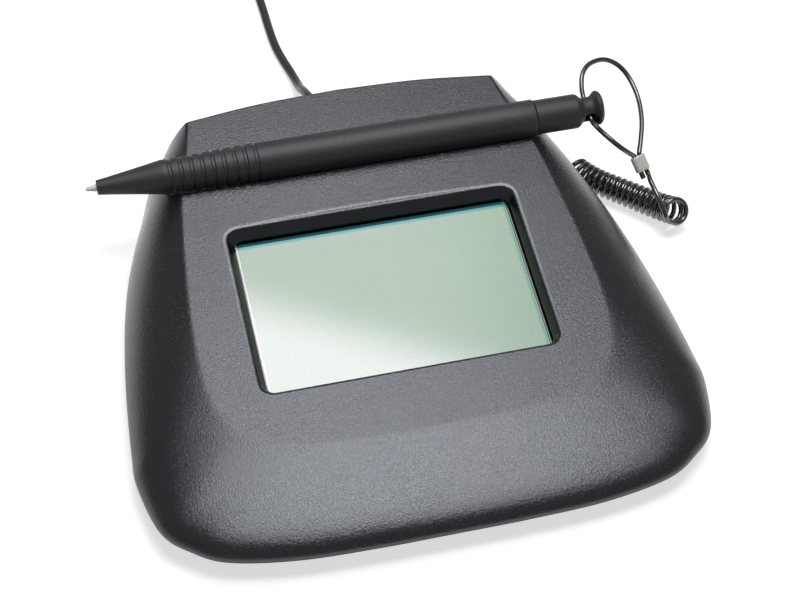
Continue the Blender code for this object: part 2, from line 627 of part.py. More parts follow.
def bottom_case():
    """Shallow tray with a lip inside the cover, screw wells, stand-offs and screen posts."""
    profile = (
        (CASE_TAPER + CASE_EDGE, CASE_UNDERSIDE), (CASE_TAPER, CASE_UNDERSIDE + CASE_EDGE / 2.0),
        (2.0 * FIT, SPLIT_HEIGHT - 3.0 * FIT), (FIT, SPLIT_HEIGHT - FIT), (WALL + FIT, SPLIT_HEIGHT - FIT),
        (WALL + FIT, SKIRT_TOP), (WALL + FIT + LIP_THICKNESS, SKIRT_TOP),
        (WALL + FIT + LIP_THICKNESS, CASE_UNDERSIDE + CASE_FLOOR))
    rings = [ring_at(outline_loop(distance)[:, :2], height) for distance, height in profile]
    case = loft("bottom_case", rings)
    floor = CASE_UNDERSIDE + CASE_FLOOR
    sunk = floor - CASE_FLOOR / 2.0
    for index, (x, y) in enumerate(screw_places()):
        well = vertical_space(f"screw well {index + 1}", WELL_RADIUS, sunk, BOSS_BOTTOM - FIT, x, y)
        cut(case, well, "UNION")
    for index, (x, y) in enumerate(board_screw_places()):
        stand = vertical_space(f"board stand-off {index + 1}", STANDOFF_RADIUS, sunk, BOARD_HEIGHT - FIT, x, y)
        cut(case, stand, "UNION")
    screen_space = keep_cutter(box("screen space", screen_space_size(), screen_space_centre(), deck_frame()))
    for index, (x, y) in enumerate(screen_post_places()):
        post = vertical_space(f"screen post {index + 1}", POST_RADIUS, sunk, DECK_HEIGHT - WALL, x, y)
        cut(post, screen_space)
        cut(case, post, "UNION")
    for index, (x, y) in enumerate(screw_places()):
        low = CASE_UNDERSIDE - CUT_OVERRUN
        head = vertical_space(f"screw head room {index + 1}", SCREW_HEAD_RADIUS + FIT, low, SCREW_SEAT, x, y)
        cut(case, head)
        shank = vertical_space(f"screw passage {index + 1}", SCREW_RADIUS + FIT, low,
                               BOSS_BOTTOM + CUT_OVERRUN, x, y, SMALL_HOLE_SIDES)
        cut(case, shank)
    for index, (x, y) in enumerate(board_screw_places()):
        low = BOARD_HEIGHT - FIT - BOARD_SCREW_LENGTH
        pilot = vertical_space(f"stand-off hole {index + 1}", BOARD_SCREW_RADIUS + FIT, low,
                               BOARD_HEIGHT + CUT_OVERRUN, x, y, SMALL_HOLE_SIDES)
        cut(case, pilot)
    for index, (x, y) in enumerate(foot_places()):
        seat = vertical_space(f"foot seat {index + 1}", FOOT_RADIUS + FIT, CASE_UNDERSIDE - CUT_OVERRUN,
                              FOOT_HEIGHT + FIT, x, y, FOOT_SIDES)
        cut(case, seat)
    cut(case, wall_hole("lead notch", USB_EXIT_X, USB_EXIT_HEIGHT, RELIEF_NECK_RADIUS + FIT))
    return keep_part(case, CASE_BLACK, 0.6)


def board_half_width():
    """The board lies between the wells of the two back screws."""
    return screw_places()[-1][0] - WELL_RADIUS - BOARD_SIDE_GAP


def board_edges():
    """Front and back edge of the board: behind the screen and short of the back wall."""
    screen_back = on_deck(0.0, screen_outer()[1] / 2.0, screen_levels()["board"]).y
    return screen_back + BOARD_FRONT_GAP, BODY_DEPTH / 2.0 - WALL - BOARD_BACK_GAP


def board_depth():
    front, back = board_edges()
    return back - front


def board_centre_y():
    front, back = board_edges()
    return (front + back) / 2.0


def board_screw_places():
    across = board_half_width() - BOARD_SCREW_EDGE
    along = board_depth() / 2.0 - BOARD_SCREW_EDGE
    return [(x, board_centre_y() + y) for x in (-across, across) for y in (-along, along)]


def screen_outer():
    """Width and height of the touch panel and of the metal frame under it."""
    return WINDOW_WIDTH + 2.0 * TOUCH_MARGIN, WINDOW_HEIGHT + 2.0 * TOUCH_MARGIN


def screen_levels():
    """Deck-frame height of the underside of each layer of the screen, from the glass down."""
    top = -WINDOW_DEPTH
    levels = {}
    for name, thickness in (("gasket", GASKET_THICKNESS), ("touch", TOUCH_THICKNESS), ("lcd", LCD_THICKNESS),
                            ("backlight", BACKLIGHT_THICKNESS), ("board", LCD_BOARD_THICKNESS)):
        top -= FIT + thickness
        levels[name] = top
    return levels


def screen_space_size():
    width, height = screen_outer()
    return width + 4.0 * POST_RADIUS, height + 4.0 * POST_RADIUS, DECK_HEIGHT


def screen_space_centre():
    return 0.0, 0.0, screen_levels()["board"] - FIT + DECK_HEIGHT / 2.0


def screen_post_places():
    width, height = screen_outer()
    across, along = width / 2.0 - POST_RADIUS, height / 2.0 - POST_RADIUS
    return [tuple(on_deck(x, y)[:2]) for x in (-across, across) for y in (-along, along)]


def layer(name, width, height, radius, thickness, bottom, hole=None):
    """Rounded sheet of the screen stack, with an optional rounded window."""
    outline = [rounded_rectangle(width, height, radius, 3)]
    if hole:
        outline.append(rounded_rectangle(*hole, 3))
    return plate(name, outline, thickness, deck_frame(), bottom)


def screen_stack():
    levels = screen_levels()
    width, height = screen_outer()
    hole = (width - 2.0 * GASKET_WIDTH, height - 2.0 * GASKET_WIDTH, WINDOW_RADIUS)
    gasket = layer("glass_gasket", width, height, WINDOW_RADIUS, GASKET_THICKNESS, levels["gasket"], hole)
    keep_part(gasket, RUBBER_BLACK, 0.9)
    touch = layer("touch_panel", width, height, WINDOW_RADIUS / 2.0, TOUCH_THICKNESS, levels["touch"])
    keep_part(touch, (0.62, 0.68, 0.62), 0.12)
    lcd_width, lcd_height = WINDOW_WIDTH + 2.0 * LCD_MARGIN, WINDOW_HEIGHT + 2.0 * LCD_MARGIN
    corner = WINDOW_RADIUS / 3.0
    lcd = layer("lcd_panel", lcd_width, lcd_height, corner, LCD_THICKNESS, levels["lcd"])
    keep_part(lcd, (0.40, 0.46, 0.36), 0.25)
    light = layer("backlight_plate", lcd_width, lcd_height, corner, BACKLIGHT_THICKNESS, levels["backlight"])
    keep_part(light, (0.82, 0.84, 0.80), 0.4)
    frame_hole = (lcd_width + 2.0 * FIT, lcd_height + 2.0 * FIT, corner + FIT)
    frame_thickness = LCD_THICKNESS + FIT + BACKLIGHT_THICKNESS
    metal = layer("lcd_frame", width, height, corner * 2.0, frame_thickness, levels["backlight"], frame_hole)
    keep_part(metal, (0.55, 0.56, 0.58), 0.35, 0.9)
    board = layer("lcd_board", width, height, corner, LCD_BOARD_THICKNESS, levels["board"])
    keep_part(board, BOARD_GREEN, 0.5)


def board_top():
    return BOARD_HEIGHT + BOARD_THICKNESS


def on_board(x_share, y_share, height):
    return x_share * board_half_width(), board_centre_y() + y_share * board_depth() / 2.0, height


def boards():
    work = [rounded_rectangle(2.0 * board_half_width(), board_depth(), BOARD_SCREW_EDGE / 2.0, 2)]
    for x, y in board_screw_places():
        angles = [2.0 * math.pi * step / SMALL_HOLE_SIDES for step in range(SMALL_HOLE_SIDES)]
        work.append([(x + (BOARD_SCREW_RADIUS + FIT) * math.cos(angle),
                      y - board_centre_y() + (BOARD_SCREW_RADIUS + FIT) * math.sin(angle)) for angle in angles])
    place = Matrix.Translation((0.0, board_centre_y(), BOARD_HEIGHT))
    keep_part(plate("main_board", work, BOARD_THICKNESS, place), BOARD_GREEN, 0.45)
    for name, size in CHIP_SIZES.items():
        centre = on_board(*CHIP_PLACE_SHARES[name], board_top() + FIT + size[2] / 2.0)
        keep_part(box(name, size, centre), (0.02, 0.02, 0.022), 0.4)
    for name, place in CAPACITOR_PLACE_SHARES.items():
        centre = on_board(*place, board_top() + FIT + CAPACITOR_HEIGHT / 2.0)
        keep_part(cylinder(name, CAPACITOR_RADIUS, CAPACITOR_HEIGHT, centre), (0.05, 0.05, 0.12), 0.35)
    can = [rounded_rectangle(CRYSTAL_LENGTH, CRYSTAL_WIDTH, CRYSTAL_WIDTH / 2.01, 4)]
    place = Matrix.Translation(on_board(*CRYSTAL_PLACE_SHARE, board_top() + FIT))
    keep_part(plate("crystal_can", can, CRYSTAL_HEIGHT, place), BRIGHT_METAL, 0.3, 0.9)


def strip(name, path, width, x):
    """Flat flex of even thickness that follows (y, z) points and lies across X."""
    line = np.array(path)
    ahead = np.gradient(line, axis=0)
    ahead /= np.linalg.norm(ahead, axis=1)[:, None]
    side = np.column_stack([-ahead[:, 1], ahead[:, 0]]) * FLEX_THICKNESS / 2.0
    outline = [tuple(point) for point in np.vstack([line + side, (line - side)[::-1]])]
    stand = Matrix(((0.0, 0.0, 1.0, x - width / 2.0), (1.0, 0.0, 0.0, 0.0),
                    (0.0, 1.0, 0.0, 0.0), (0.0, 0.0, 0.0, 1.0)))
    return plate(name, [outline], width, stand)


def flexes():
    """Flat leads from the display board and the touch panel down to the main board."""
    edge = screen_outer()[1] / 2.0 + FIT
    for name, layer_name, connector, width in (("lcd_flex", "board", "lcd_connector", LCD_FLEX_WIDTH),
                                               ("touch_flex", "touch", "touch_connector", TOUCH_FLEX_WIDTH)):
        depth, height = CHIP_SIZES[connector][1:]
        start = on_deck(0.0, edge, screen_levels()[layer_name] + FLEX_THICKNESS)
        rise = board_top() + 2.0 * FIT + height + FLEX_THICKNESS / 2.0
        x, y, over = on_board(*CHIP_PLACE_SHARES[connector], rise)
        stations = [(start.y + (y - start.y) * along, start.z + (over - start.z) * down)
                    for along, down in FLEX_PATH_SHARES]
        stations.append((y + depth / 2.0, over))
        keep_part(strip(name, smooth_path(stations, FLEX_STEPS), width, x), (0.35, 0.16, 0.03), 0.35)


def screw(name, radius, head_radius, head, length, x, y, seat, upwards):
    """Pan-head screw whose head seats at the given height; upwards ones point into the cover."""
    turn = Matrix.Translation((x, y, seat))
    if upwards:
        turn = turn @ Matrix.Rotation(math.pi, 4, "X")
    profile = ((0.0, head), (head_radius * SCREW_HEAD_CROWN_SHARE, head),
               (head_radius, head * SCREW_HEAD_EDGE_SHARE), (head_radius, FIT / 2.0), (radius, FIT / 2.0),
               (radius, -length * SCREW_TIP_SHARE), (0.0, -length))
    keep_part(turned(name, profile, turn, SCREW_SIDES), (0.42, 0.42, 0.44), 0.35, 0.9)


def screws():
    for index, (x, y) in enumerate(screw_places()):
        screw(f"case_screw_{index + 1}", SCREW_RADIUS, SCREW_HEAD_RADIUS, SCREW_HEAD, SCREW_LENGTH,
              x, y, SCREW_SEAT - FIT / 2.0, True)
    for index, (x, y) in enumerate(board_screw_places()):
        screw(f"board_screw_{index + 1}", BOARD_SCREW_RADIUS, BOARD_SCREW_HEAD_RADIUS, BOARD_SCREW_HEAD,
              BOARD_SCREW_LENGTH, x, y, board_top() + FIT / 2.0, False)


def feet():
    names = ("foot_front_left", "foot_front_right", "foot_back_left", "foot_back_right")
    for name, (x, y) in zip(names, foot_places()):
        rim = FOOT_SEAT / 2.0
        profile = ((0.0, FOOT_HEIGHT), (FOOT_RADIUS, FOOT_HEIGHT), (FOOT_RADIUS, rim),
                   (FOOT_RADIUS - rim, 0.0), (0.0, 0.0))
        keep_part(turned(name, profile, Matrix.Translation((x, y, 0.0)), FOOT_SIDES), RUBBER_BLACK, 0.85)


def pen_frame():
    """Frame whose +Z runs along the pen from the nib's end, at the end of the nose."""
    place = Matrix.Translation((PEN_TIP_X, PEN_LINE_Y, PEN_AXIS_RISE))
    return deck_frame() @ place @ Matrix.Rotation(math.pi / 2.0, 4, "Y")


def pen_barrel_profile():
    """Outer points (radius, distance) from the nose to the cap joint."""
    points = []
    steps = 6
    for step in range(steps + 1):
        share = step / steps
        swell = share ** PEN_NOSE_SWELL
        points.append((PEN_NOSE_RADIUS + (PEN_GRIP_RADIUS - PEN_NOSE_RADIUS) * swell, PEN_NOSE_LENGTH * share))
    start = PEN_NOSE_LENGTH + PEN_GRIP_START
    half = PEN_GRIP_GROOVE_WIDTH / 2.0
    for index in range(PEN_GRIP_GROOVES):
        middle = start + index * PEN_GRIP_PITCH
        rise = (PEN_RADIUS - PEN_GRIP_RADIUS) * index / (PEN_GRIP_GROOVES - 1)
        top = PEN_GRIP_RADIUS + rise
        floor = half * PEN_GRIP_GROOVE_FLOOR_SHARE
        points += [(top, middle - half), (top - PEN_GRIP_GROOVE_DEPTH, middle - floor),
                   (top - PEN_GRIP_GROOVE_DEPTH, middle + floor), (top, middle + half)]
    end = PEN_JOINT_X - PEN_TIP_X
    points += [(PEN_RADIUS, start + PEN_GRIP_GROOVES * PEN_GRIP_PITCH), (PEN_RADIUS, end - FIT),
               (PEN_RADIUS - FIT, end)]
    return points


def pen_joint():
    """Distance along the pen from the nose to the joint with the end cap."""
    return PEN_JOINT_X - PEN_TIP_X


def pen_barrel():
    bore = PEN_RADIUS - PEN_WALL
    seat = NIB_RADIUS + FIT
    inner = [(seat, 0.0), (seat, NIB_IN + FIT), (PEN_NOSE_RADIUS, PEN_NOSE_LENGTH),
             (bore - PEN_WALL, 2.0 * PEN_NOSE_LENGTH), (bore, pen_joint() - CAP_SPIGOT - CUT_OVERRUN),
             (bore, pen_joint())]
    profile = list(reversed(pen_barrel_profile())) + inner
    keep_part(turned("pen_barrel", profile, pen_frame(), PEN_SIDES, True), (0.022, 0.022, 0.025), 0.75)


def pen_nib():
    profile = ((0.0, NIB_IN), (NIB_RADIUS, NIB_IN), (NIB_RADIUS, -NIB_OUT * 0.3),
               (NIB_TIP_RADIUS, -NIB_OUT * 0.92), (NIB_TIP_RADIUS * 0.6, -NIB_OUT), (0.0, -NIB_OUT))
    keep_part(turned("pen_nib", profile, pen_frame(), NIB_SIDES), (0.80, 0.79, 0.77), 0.4)


def cap_neck_middle():
    """Distance along the pen from the nose to the middle of the cap's neck."""
    return pen_joint() + CAP_BARREL + CAP_CHAMFER + CAP_NECK / 2.0


def pen_end_cap():
    start = pen_joint() + FIT
    shoulder = pen_joint() + CAP_BARREL
    neck = shoulder + CAP_CHAMFER
    disc = neck + CAP_NECK
    spigot = PEN_RADIUS - PEN_WALL - FIT
    waist = (CAP_DISC_RADIUS - CAP_NECK_RADIUS) * CAP_WAIST_SHARE
    profile = ((0.0, disc + CAP_DISC), (CAP_DISC_RADIUS * 0.8, disc + CAP_DISC),
               (CAP_DISC_RADIUS, disc + CAP_DISC * 0.7), (CAP_DISC_RADIUS, disc + CAP_DISC * 0.25),
               (CAP_DISC_RADIUS - waist, disc), (CAP_NECK_RADIUS + waist, disc - CAP_NECK * CAP_WAIST_SHARE),
               (CAP_NECK_RADIUS, disc - CAP_NECK * 0.45), (CAP_NECK_RADIUS, neck),
               (CAP_RADIUS, shoulder), (CAP_RADIUS, start + FIT), (CAP_RADIUS - FIT, start), (spigot, start),
               (spigot, pen_joint() - CAP_SPIGOT + FIT), (spigot - FIT, pen_joint() - CAP_SPIGOT),
               (0.0, pen_joint() - CAP_SPIGOT))
    cap = turned("pen_end_cap", profile, pen_frame(), PEN_SIDES)
    through = 4.0 * CAP_RADIUS
    hole = cylinder("tether eye", CAP_HOLE_RADIUS, through, (0.0, 0.0, 0.0), cap_eye_frame(), HOLE_SIDES)
    cut(cap, keep_cutter(hole))
    keep_part(cap, (0.025, 0.023, 0.026), 0.7)


def cap_eye_frame():
    """Frame whose Z runs through the eye in the cap's neck, towards the back."""
    place = Matrix.Translation((PEN_TIP_X + cap_neck_middle(), PEN_LINE_Y, PEN_AXIS_RISE))
    return deck_frame() @ place @ Matrix.Rotation(-math.pi / 2.0, 4, "X")


def tube(name, points, radius, resolution=2):
    """Round cord of even radius along the points, with closed ends."""
    line = bpy.data.curves.new(name, "CURVE")
    line.dimensions = "3D"
    line.bevel_depth = radius
    line.bevel_resolution = resolution
    line.use_fill_caps = True
    run = line.splines.new("POLY")
    run.points.add(len(points) - 1)
    for point, place in zip(run.points, points):
        point.co = (*place, 1.0)
    guide = bpy.data.objects.new(name + " line", line)
    bpy.context.scene.collection.objects.link(guide)
    return smooth_rounds(solid_from_curve(guide, name), math.radians(60.0))


def even_points(stations, spacing, steps=12):
    """Smooth curve through the stations, read off at even spacing."""
    fine = smooth_path(stations, steps)
    travel = np.concatenate([[0.0], np.cumsum(np.linalg.norm(np.diff(fine, axis=0), axis=1))])
    count = max(2, int(round(travel[-1] / spacing)) + 1)
    reads = np.linspace(0.0, travel[-1], count)
    return np.column_stack([np.interp(reads, travel, fine[:, axis]) for axis in range(3)])


def laid_route(stations, spacing):
    """Route of a cord: its first and last runs are straight, and the rest is one smooth curve."""
    middle = even_points(stations[1:-1], spacing)
    return np.vstack([stations[0], middle, stations[-1]])


def length_of(points):
    return float(np.linalg.norm(np.diff(np.array(points), axis=0), axis=1).sum())


def least_gap(points, radius):
    """Least clear distance between parts of one tube that are over five diameters apart along it."""
    line = np.array(points)
    travel = np.concatenate([[0.0], np.cumsum(np.linalg.norm(np.diff(line, axis=0), axis=1))])
    nearest = math.inf
    for place, run in zip(line, travel):
        rest = line[travel > run + 10.0 * radius]
        if len(rest):
            nearest = min(nearest, float(np.linalg.norm(rest - place, axis=1).min()))
    return nearest - 2.0 * radius


def relief_frame():
    return back_wall_frame(USB_EXIT_X, USB_EXIT_HEIGHT)


def strain_relief():
    """Flange inside the wall, neck through it and a ribbed, tapered sleeve outside."""
    inner = -WALL - FIT
    tail = FIT + RELIEF_COLLAR + RELIEF_LENGTH
    profile = [(0.0, tail), (RELIEF_TAIL_RADIUS, tail)]
    rib = RELIEF_LENGTH / (2 * RELIEF_RIBS)
    for index in range(RELIEF_RIBS):
        share = index / RELIEF_RIBS
        wide = RELIEF_TAIL_RADIUS + (RELIEF_NECK_RADIUS - RELIEF_TAIL_RADIUS) * share + FIT
        top = FIT + RELIEF_COLLAR + RELIEF_LENGTH * (1.0 - share)
        rib_top, rib_end, groove_top, groove_end = [top - rib * down for down in RELIEF_RIB_SHARES]
        narrow = wide - 2.0 * FIT
        profile += [(wide, rib_top), (wide, rib_end), (narrow, groove_top), (narrow, groove_end)]
    profile += [(RELIEF_COLLAR_RADIUS, FIT + RELIEF_COLLAR), (RELIEF_COLLAR_RADIUS, FIT),
                (RELIEF_NECK_RADIUS, FIT), (RELIEF_NECK_RADIUS, inner - FIT),
                (RELIEF_FLANGE_RADIUS, inner - FIT), (RELIEF_FLANGE_RADIUS, inner - FIT - RELIEF_FLANGE),
                (0.0, inner - FIT - RELIEF_FLANGE)]
    keep_part(turned("usb_strain_relief", profile, relief_frame(), RELIEF_SIDES), RUBBER_BLACK, 0.7)


def relief_end():
    return relief_frame() @ Vector((0.0, 0.0, FIT + RELIEF_COLLAR + RELIEF_LENGTH + FIT))


def inner_lead():
    """Lead from the relief's flange to the header on the board."""
    start = relief_frame() @ Vector((0.0, 0.0, -WALL - 3.0 * FIT - RELIEF_FLANGE))
    depth, height = CHIP_SIZES["usb_header"][1:]
    x, y, z = on_board(*CHIP_PLACE_SHARES["usb_header"], board_top() + FIT + height * USB_HEADER_ENTRY_SHARE)
    end = (x, y + depth / 2.0 + FIT, z)
    stations = [tuple(start), (start.x, start.y - 2.0 * CABLE_RADIUS, start.z),
                (end[0], end[1] + 2.0 * CABLE_RADIUS, end[2]), end]
    route = laid_route(stations, 2.0 * CABLE_RADIUS)
    keep_part(tube("usb_inner_lead", route, CABLE_RADIUS), CORD_BLACK, 0.5)


def coil_points():
    """Piled coil: the turns spiral in on one layer and out on the next, climbing where they reverse."""
    inner = COIL_MEAN_RADIUS - COIL_STEP * COIL_TURNS_PER_LAYER / 2.0
    outer = coil_outer_radius()
    quarter = COIL_POINTS_PER_TURN / 4
    points = []
    total = COIL_TURNS_PER_LAYER * COIL_POINTS_PER_TURN
    for layer_index in range(COIL_LAYERS):
        inward = layer_index % 2 == 0
        for step in range(total):
            share = step / total
            radius = outer - (outer - inner) * share if inward else inner + (outer - inner) * share
            climb = max(0.0, (step - total + quarter) / (2.0 * quarter))
            enter = max(0.0, (quarter - step) / (2.0 * quarter))
            if layer_index == COIL_LAYERS - 1:
                climb = 0.0
            if layer_index == 0:
                enter = 0.0
            height = COIL_BASE + COIL_STEP * (layer_index + climb - enter)
            angle = 2.0 * math.pi * (layer_index * COIL_TURNS_PER_LAYER + step / COIL_POINTS_PER_TURN)
            points.append((COIL_CENTRE[0] + radius * math.cos(angle),
                           COIL_CENTRE[1] + radius * math.sin(angle), height))
    return points


def coil_outer_radius():
    return COIL_MEAN_RADIUS + COIL_STEP * COIL_TURNS_PER_LAYER / 2.0


def plug_height():
    return PLUG_BODY_HEIGHT / 2.0 + FIT


def coil_tail():
    """Run from the coil's last turn, out and down beside it, towards the plug."""
    top = COIL_BASE + COIL_STEP * (COIL_LAYERS - 1)
    reach = COIL_STEP + 3.0 * FIT
    count = COIL_POINTS_PER_TURN // 4
    points = []
    for step in range(count + 1):
        share = step / count
        ease = share * share * (3.0 - 2.0 * share)
        drop = max(0.0, 2.0 * share - 1.0)
        fall = drop * drop * (3.0 - 2.0 * drop)
        radius = coil_outer_radius() + reach * min(1.0, 2.0 * ease)
        angle = math.pi / 2.0 * share
        points.append((COIL_CENTRE[0] + radius * math.cos(angle), COIL_CENTRE[1] + radius * math.sin(angle),
                       top + (plug_height() + COIL_STEP - top) * fall))
    last = points[-1]
    points.append((last[0] - 2.0 * COIL_STEP, last[1], plug_height() + COIL_STEP * 0.2))
    points.append((last[0] - 3.0 * COIL_STEP, last[1], plug_height()))
    points.append((last[0] - 3.0 * COIL_STEP - 2.0 * CABLE_RADIUS, last[1], plug_height()))
    return points


def usb_cable():
    coil = coil_points()
    start = coil[0]
    coil.insert(0, (start[0], start[1] - 2.0 * CABLE_RADIUS, start[2]))
    whole = coil + coil_tail()
    keep_part(tube("usb_cable_coil", whole, CABLE_RADIUS, 1), CORD_BLACK, 0.5)
    print(f"usb_cable_coil least gap to itself {least_gap(whole, CABLE_RADIUS) / MM:.2f} mm")
    frame = relief_frame()
    first = relief_end()
    follow = frame @ Vector((0.0, 0.0, FIT * 2.0 + RELIEF_COLLAR + RELIEF_LENGTH + 2.0 * CABLE_RADIUS))
    end = (start[0], start[1] - 2.0 * CABLE_RADIUS - FIT, start[2])
    before = (end[0], end[1] - 2.0 * CABLE_RADIUS, end[2])
    stations = [tuple(first), tuple(follow), *USB_ROUTE, before, end]
    run = laid_route(stations, 4.0 * CABLE_RADIUS)
    keep_part(tube("usb_cable", run, CABLE_RADIUS), CORD_BLACK, 0.5)
    print(f"usb lead length {(length_of(whole) + length_of(run)) / MM:.0f} mm")
    return whole[-1]


def cable_tie():
    """Closed strap round the bundle of turns."""
    inner = COIL_MEAN_RADIUS - COIL_STEP * COIL_TURNS_PER_LAYER / 2.0
    width = coil_outer_radius() - inner + 2.0 * (CABLE_RADIUS + FIT)
    height = COIL_STEP * (COIL_LAYERS - 1) + 2.0 * (CABLE_RADIUS + FIT)
    round_over = 2.0 * TIE_THICKNESS
    wrap = [rounded_rectangle(width + round_over, height + round_over, round_over + TIE_THICKNESS, 3),
            rounded_rectangle(width, height, round_over, 3)]
    middle = (COIL_CENTRE[0] + COIL_MEAN_RADIUS * math.cos(TIE_ANGLE),
              COIL_CENTRE[1] + COIL_MEAN_RADIUS * math.sin(TIE_ANGLE),
              COIL_BASE + COIL_STEP * (COIL_LAYERS - 1) / 2.0)
    stand = (Matrix.Translation(middle) @ Matrix.Rotation(TIE_ANGLE, 4, "Z")
             @ Matrix.Rotation(math.pi / 2.0, 4, "X"))
    keep_part(plate("cable_tie", wrap, TIE_WIDTH, stand, -TIE_WIDTH / 2.0), RUBBER_BLACK, 0.8)


def usb_plug(cable_end):
    """Moulded body, metal shell and tongue, lying beside the coil and pointing to -X."""
    place = Matrix.Translation((cable_end[0] - FIT, cable_end[1], plug_height()))
    frame = place @ Matrix.Rotation(math.pi, 4, "Z")
    body_size = (PLUG_BODY_LENGTH, PLUG_BODY_WIDTH, PLUG_BODY_HEIGHT)
    body = box("usb_plug_body", body_size, (PLUG_COLLAR + PLUG_BODY_LENGTH / 2.0, 0.0, 0.0), frame)
    bevel = body.modifiers.new("rounded edges", "BEVEL")
    bevel.width = PLUG_BODY_HEIGHT / 6.0
    bevel.segments = 2
    side = frame @ Matrix.Rotation(math.pi / 2.0, 4, "Y")
    middle = (0.0, 0.0, (PLUG_COLLAR + CUT_OVERRUN) / 2.0)
    collar = cylinder("plug collar", PLUG_COLLAR_END_RADIUS, PLUG_COLLAR + CUT_OVERRUN, middle, side,
                      PLUG_COLLAR_SIDES, PLUG_COLLAR_RADIUS)
    cut(body, keep_cutter(collar), "UNION")
    keep_part(body, RUBBER_BLACK, 0.55)
    shell_start = PLUG_COLLAR + PLUG_BODY_LENGTH + FIT
    size = (PLUG_SHELL_LENGTH, PLUG_SHELL_WIDTH, PLUG_SHELL_HEIGHT)
    shell = box("usb_plug_shell", size, (shell_start + PLUG_SHELL_LENGTH / 2.0, 0.0, 0.0), frame)
    walls = 2.0 * PLUG_SHELL_WALL
    hollow = (PLUG_SHELL_LENGTH, PLUG_SHELL_WIDTH - walls, PLUG_SHELL_HEIGHT - walls)
    mouth_middle = shell_start + PLUG_SHELL_LENGTH / 2.0 + CUT_OVERRUN
    inside = box("plug mouth", hollow, (mouth_middle, 0.0, 0.0), frame)
    cut(shell, keep_cutter(inside))
    keep_part(shell, (0.65, 0.65, 0.66), 0.25, 1.0)
    tongue_size = (PLUG_SHELL_LENGTH - CUT_OVERRUN - 2.0 * FIT, hollow[1] - 2.0 * FIT, PLUG_TONGUE_HEIGHT)
    drop = -(hollow[2] - PLUG_TONGUE_HEIGHT) / 2.0 + FIT
    place = (shell_start + CUT_OVERRUN + FIT + tongue_size[0] / 2.0, 0.0, drop)
    keep_part(box("usb_plug_tongue", tongue_size, place, frame), (0.85, 0.85, 0.85), 0.5)


def tether_frame():
    return back_wall_frame(TETHER_EXIT_X, TETHER_EXIT_HEIGHT)


def tether_grommet():
    inner = -WALL - FIT
    profile = ((0.0, GROMMET_TAIL), (TETHER_RADIUS + FIT, GROMMET_TAIL),
               (GROMMET_FLANGE_RADIUS, FIT + GROMMET_FLANGE), (GROMMET_FLANGE_RADIUS, FIT),
               (GROMMET_NECK_RADIUS, FIT), (GROMMET_NECK_RADIUS, inner - FIT),
               (GROMMET_FLANGE_RADIUS, inner - FIT), (GROMMET_FLANGE_RADIUS, inner - FIT - GROMMET_FLANGE),
               (0.0, inner - FIT - GROMMET_FLANGE))
    keep_part(turned("tether_grommet", profile, tether_frame(), GROMMET_SIDES), RUBBER_BLACK, 0.7)


def tether_stop():
    """Crimped bead that keeps the tether's end inside the pad."""
    top = -WALL - 3.0 * FIT - GROMMET_FLANGE
    side = [(GROMMET_NECK_RADIUS * out, top - GROMMET_NECK_RADIUS * down) for out, down in STOP_OUTLINE_SHARES]
    profile = [(0.0, side[0][1]), *side, (0.0, side[-1][1])]
    keep_part(turned("tether_stop", profile, tether_frame(), STOP_SIDES), BRIGHT_METAL, 0.35, 0.9)


def curl_points(stations):
    """Helix of slowly growing radius whose axis follows the stations."""
    axis = even_points(stations, CURL_PITCH / CURL_POINTS)
    ahead = np.gradient(axis, axis=0)
    ahead /= np.linalg.norm(ahead, axis=1)[:, None]
    side = np.cross(ahead[-1], (0.0, 0.0, 1.0))
    side /= np.linalg.norm(side)
    sides = [side]
    for direction in ahead[-2::-1]:
        side = side - direction * np.dot(side, direction)
        side /= np.linalg.norm(side)
        sides.append(side)
    sides = np.array(sides[::-1])
    ups = np.cross(sides, ahead)
    share = np.linspace(0.0, 1.0, len(axis))
    turn = CURL_END_ANGLE - 2.0 * math.pi * (len(axis) - 1 - np.arange(len(axis))) / CURL_POINTS
    grow = np.clip(np.arange(len(axis)) / (CURL_GROWTH_TURNS * CURL_POINTS), 0.0, 1.0)
    radius = (CURL_START_RADIUS + (CURL_END_RADIUS - CURL_START_RADIUS) * share) * grow
    return axis + radius[:, None] * (np.cos(turn)[:, None] * sides + np.sin(turn)[:, None] * ups)


def tether_coil():
    """Curly cord: straight out of the grommet, down to the table and round the pad's back corner."""
    frame = tether_frame()
    start = frame @ Vector((0.0, 0.0, GROMMET_TAIL + FIT))
    follow = frame @ Vector((0.0, 0.0, GROMMET_TAIL + FIT + 2.0 * TETHER_RADIUS))
    run_in = even_points([tuple(follow), *TETHER_ROUTE[:CURL_FIRST + 1]], 4.0 * TETHER_RADIUS)
    curls = curl_points(TETHER_ROUTE[CURL_FIRST:])
    leave = curls[-1] - curls[-2]
    leave /= np.linalg.norm(leave)
    end = curls[-1] + leave * 2.0 * TETHER_RADIUS
    whole = np.vstack([start, run_in[:-1], curls, end])
    keep_part(tube("tether_coil", whole, TETHER_RADIUS, 1), CORD_BLACK, 0.35)
    gap = least_gap(whole, TETHER_RADIUS)
    print(f"tether_coil curls {len(curls) / CURL_POINTS:.1f}, least gap to itself {gap / MM:.2f} mm, "
          f"length {length_of(whole) / MM:.0f} mm")
    return end, leave


def ferrule_frame():
    """Frame at the ferrule's middle: Z up its length, X across the two cords."""
    top, bottom = Vector(FERRULE_TOP), Vector(FERRULE_BOTTOM)
    up = (top - bottom).normalized()
    across = Vector((math.cos(FERRULE_TURN), math.sin(FERRULE_TURN), 0.0))
    across = (across - up * across.dot(up)).normalized()
    depth = up.cross(across)
    turn = Matrix((across, depth, up)).transposed().to_4x4()
    return Matrix.Translation((top + bottom) / 2.0) @ turn


def ferrule_length():
    return (Vector(FERRULE_TOP) - Vector(FERRULE_BOTTOM)).length


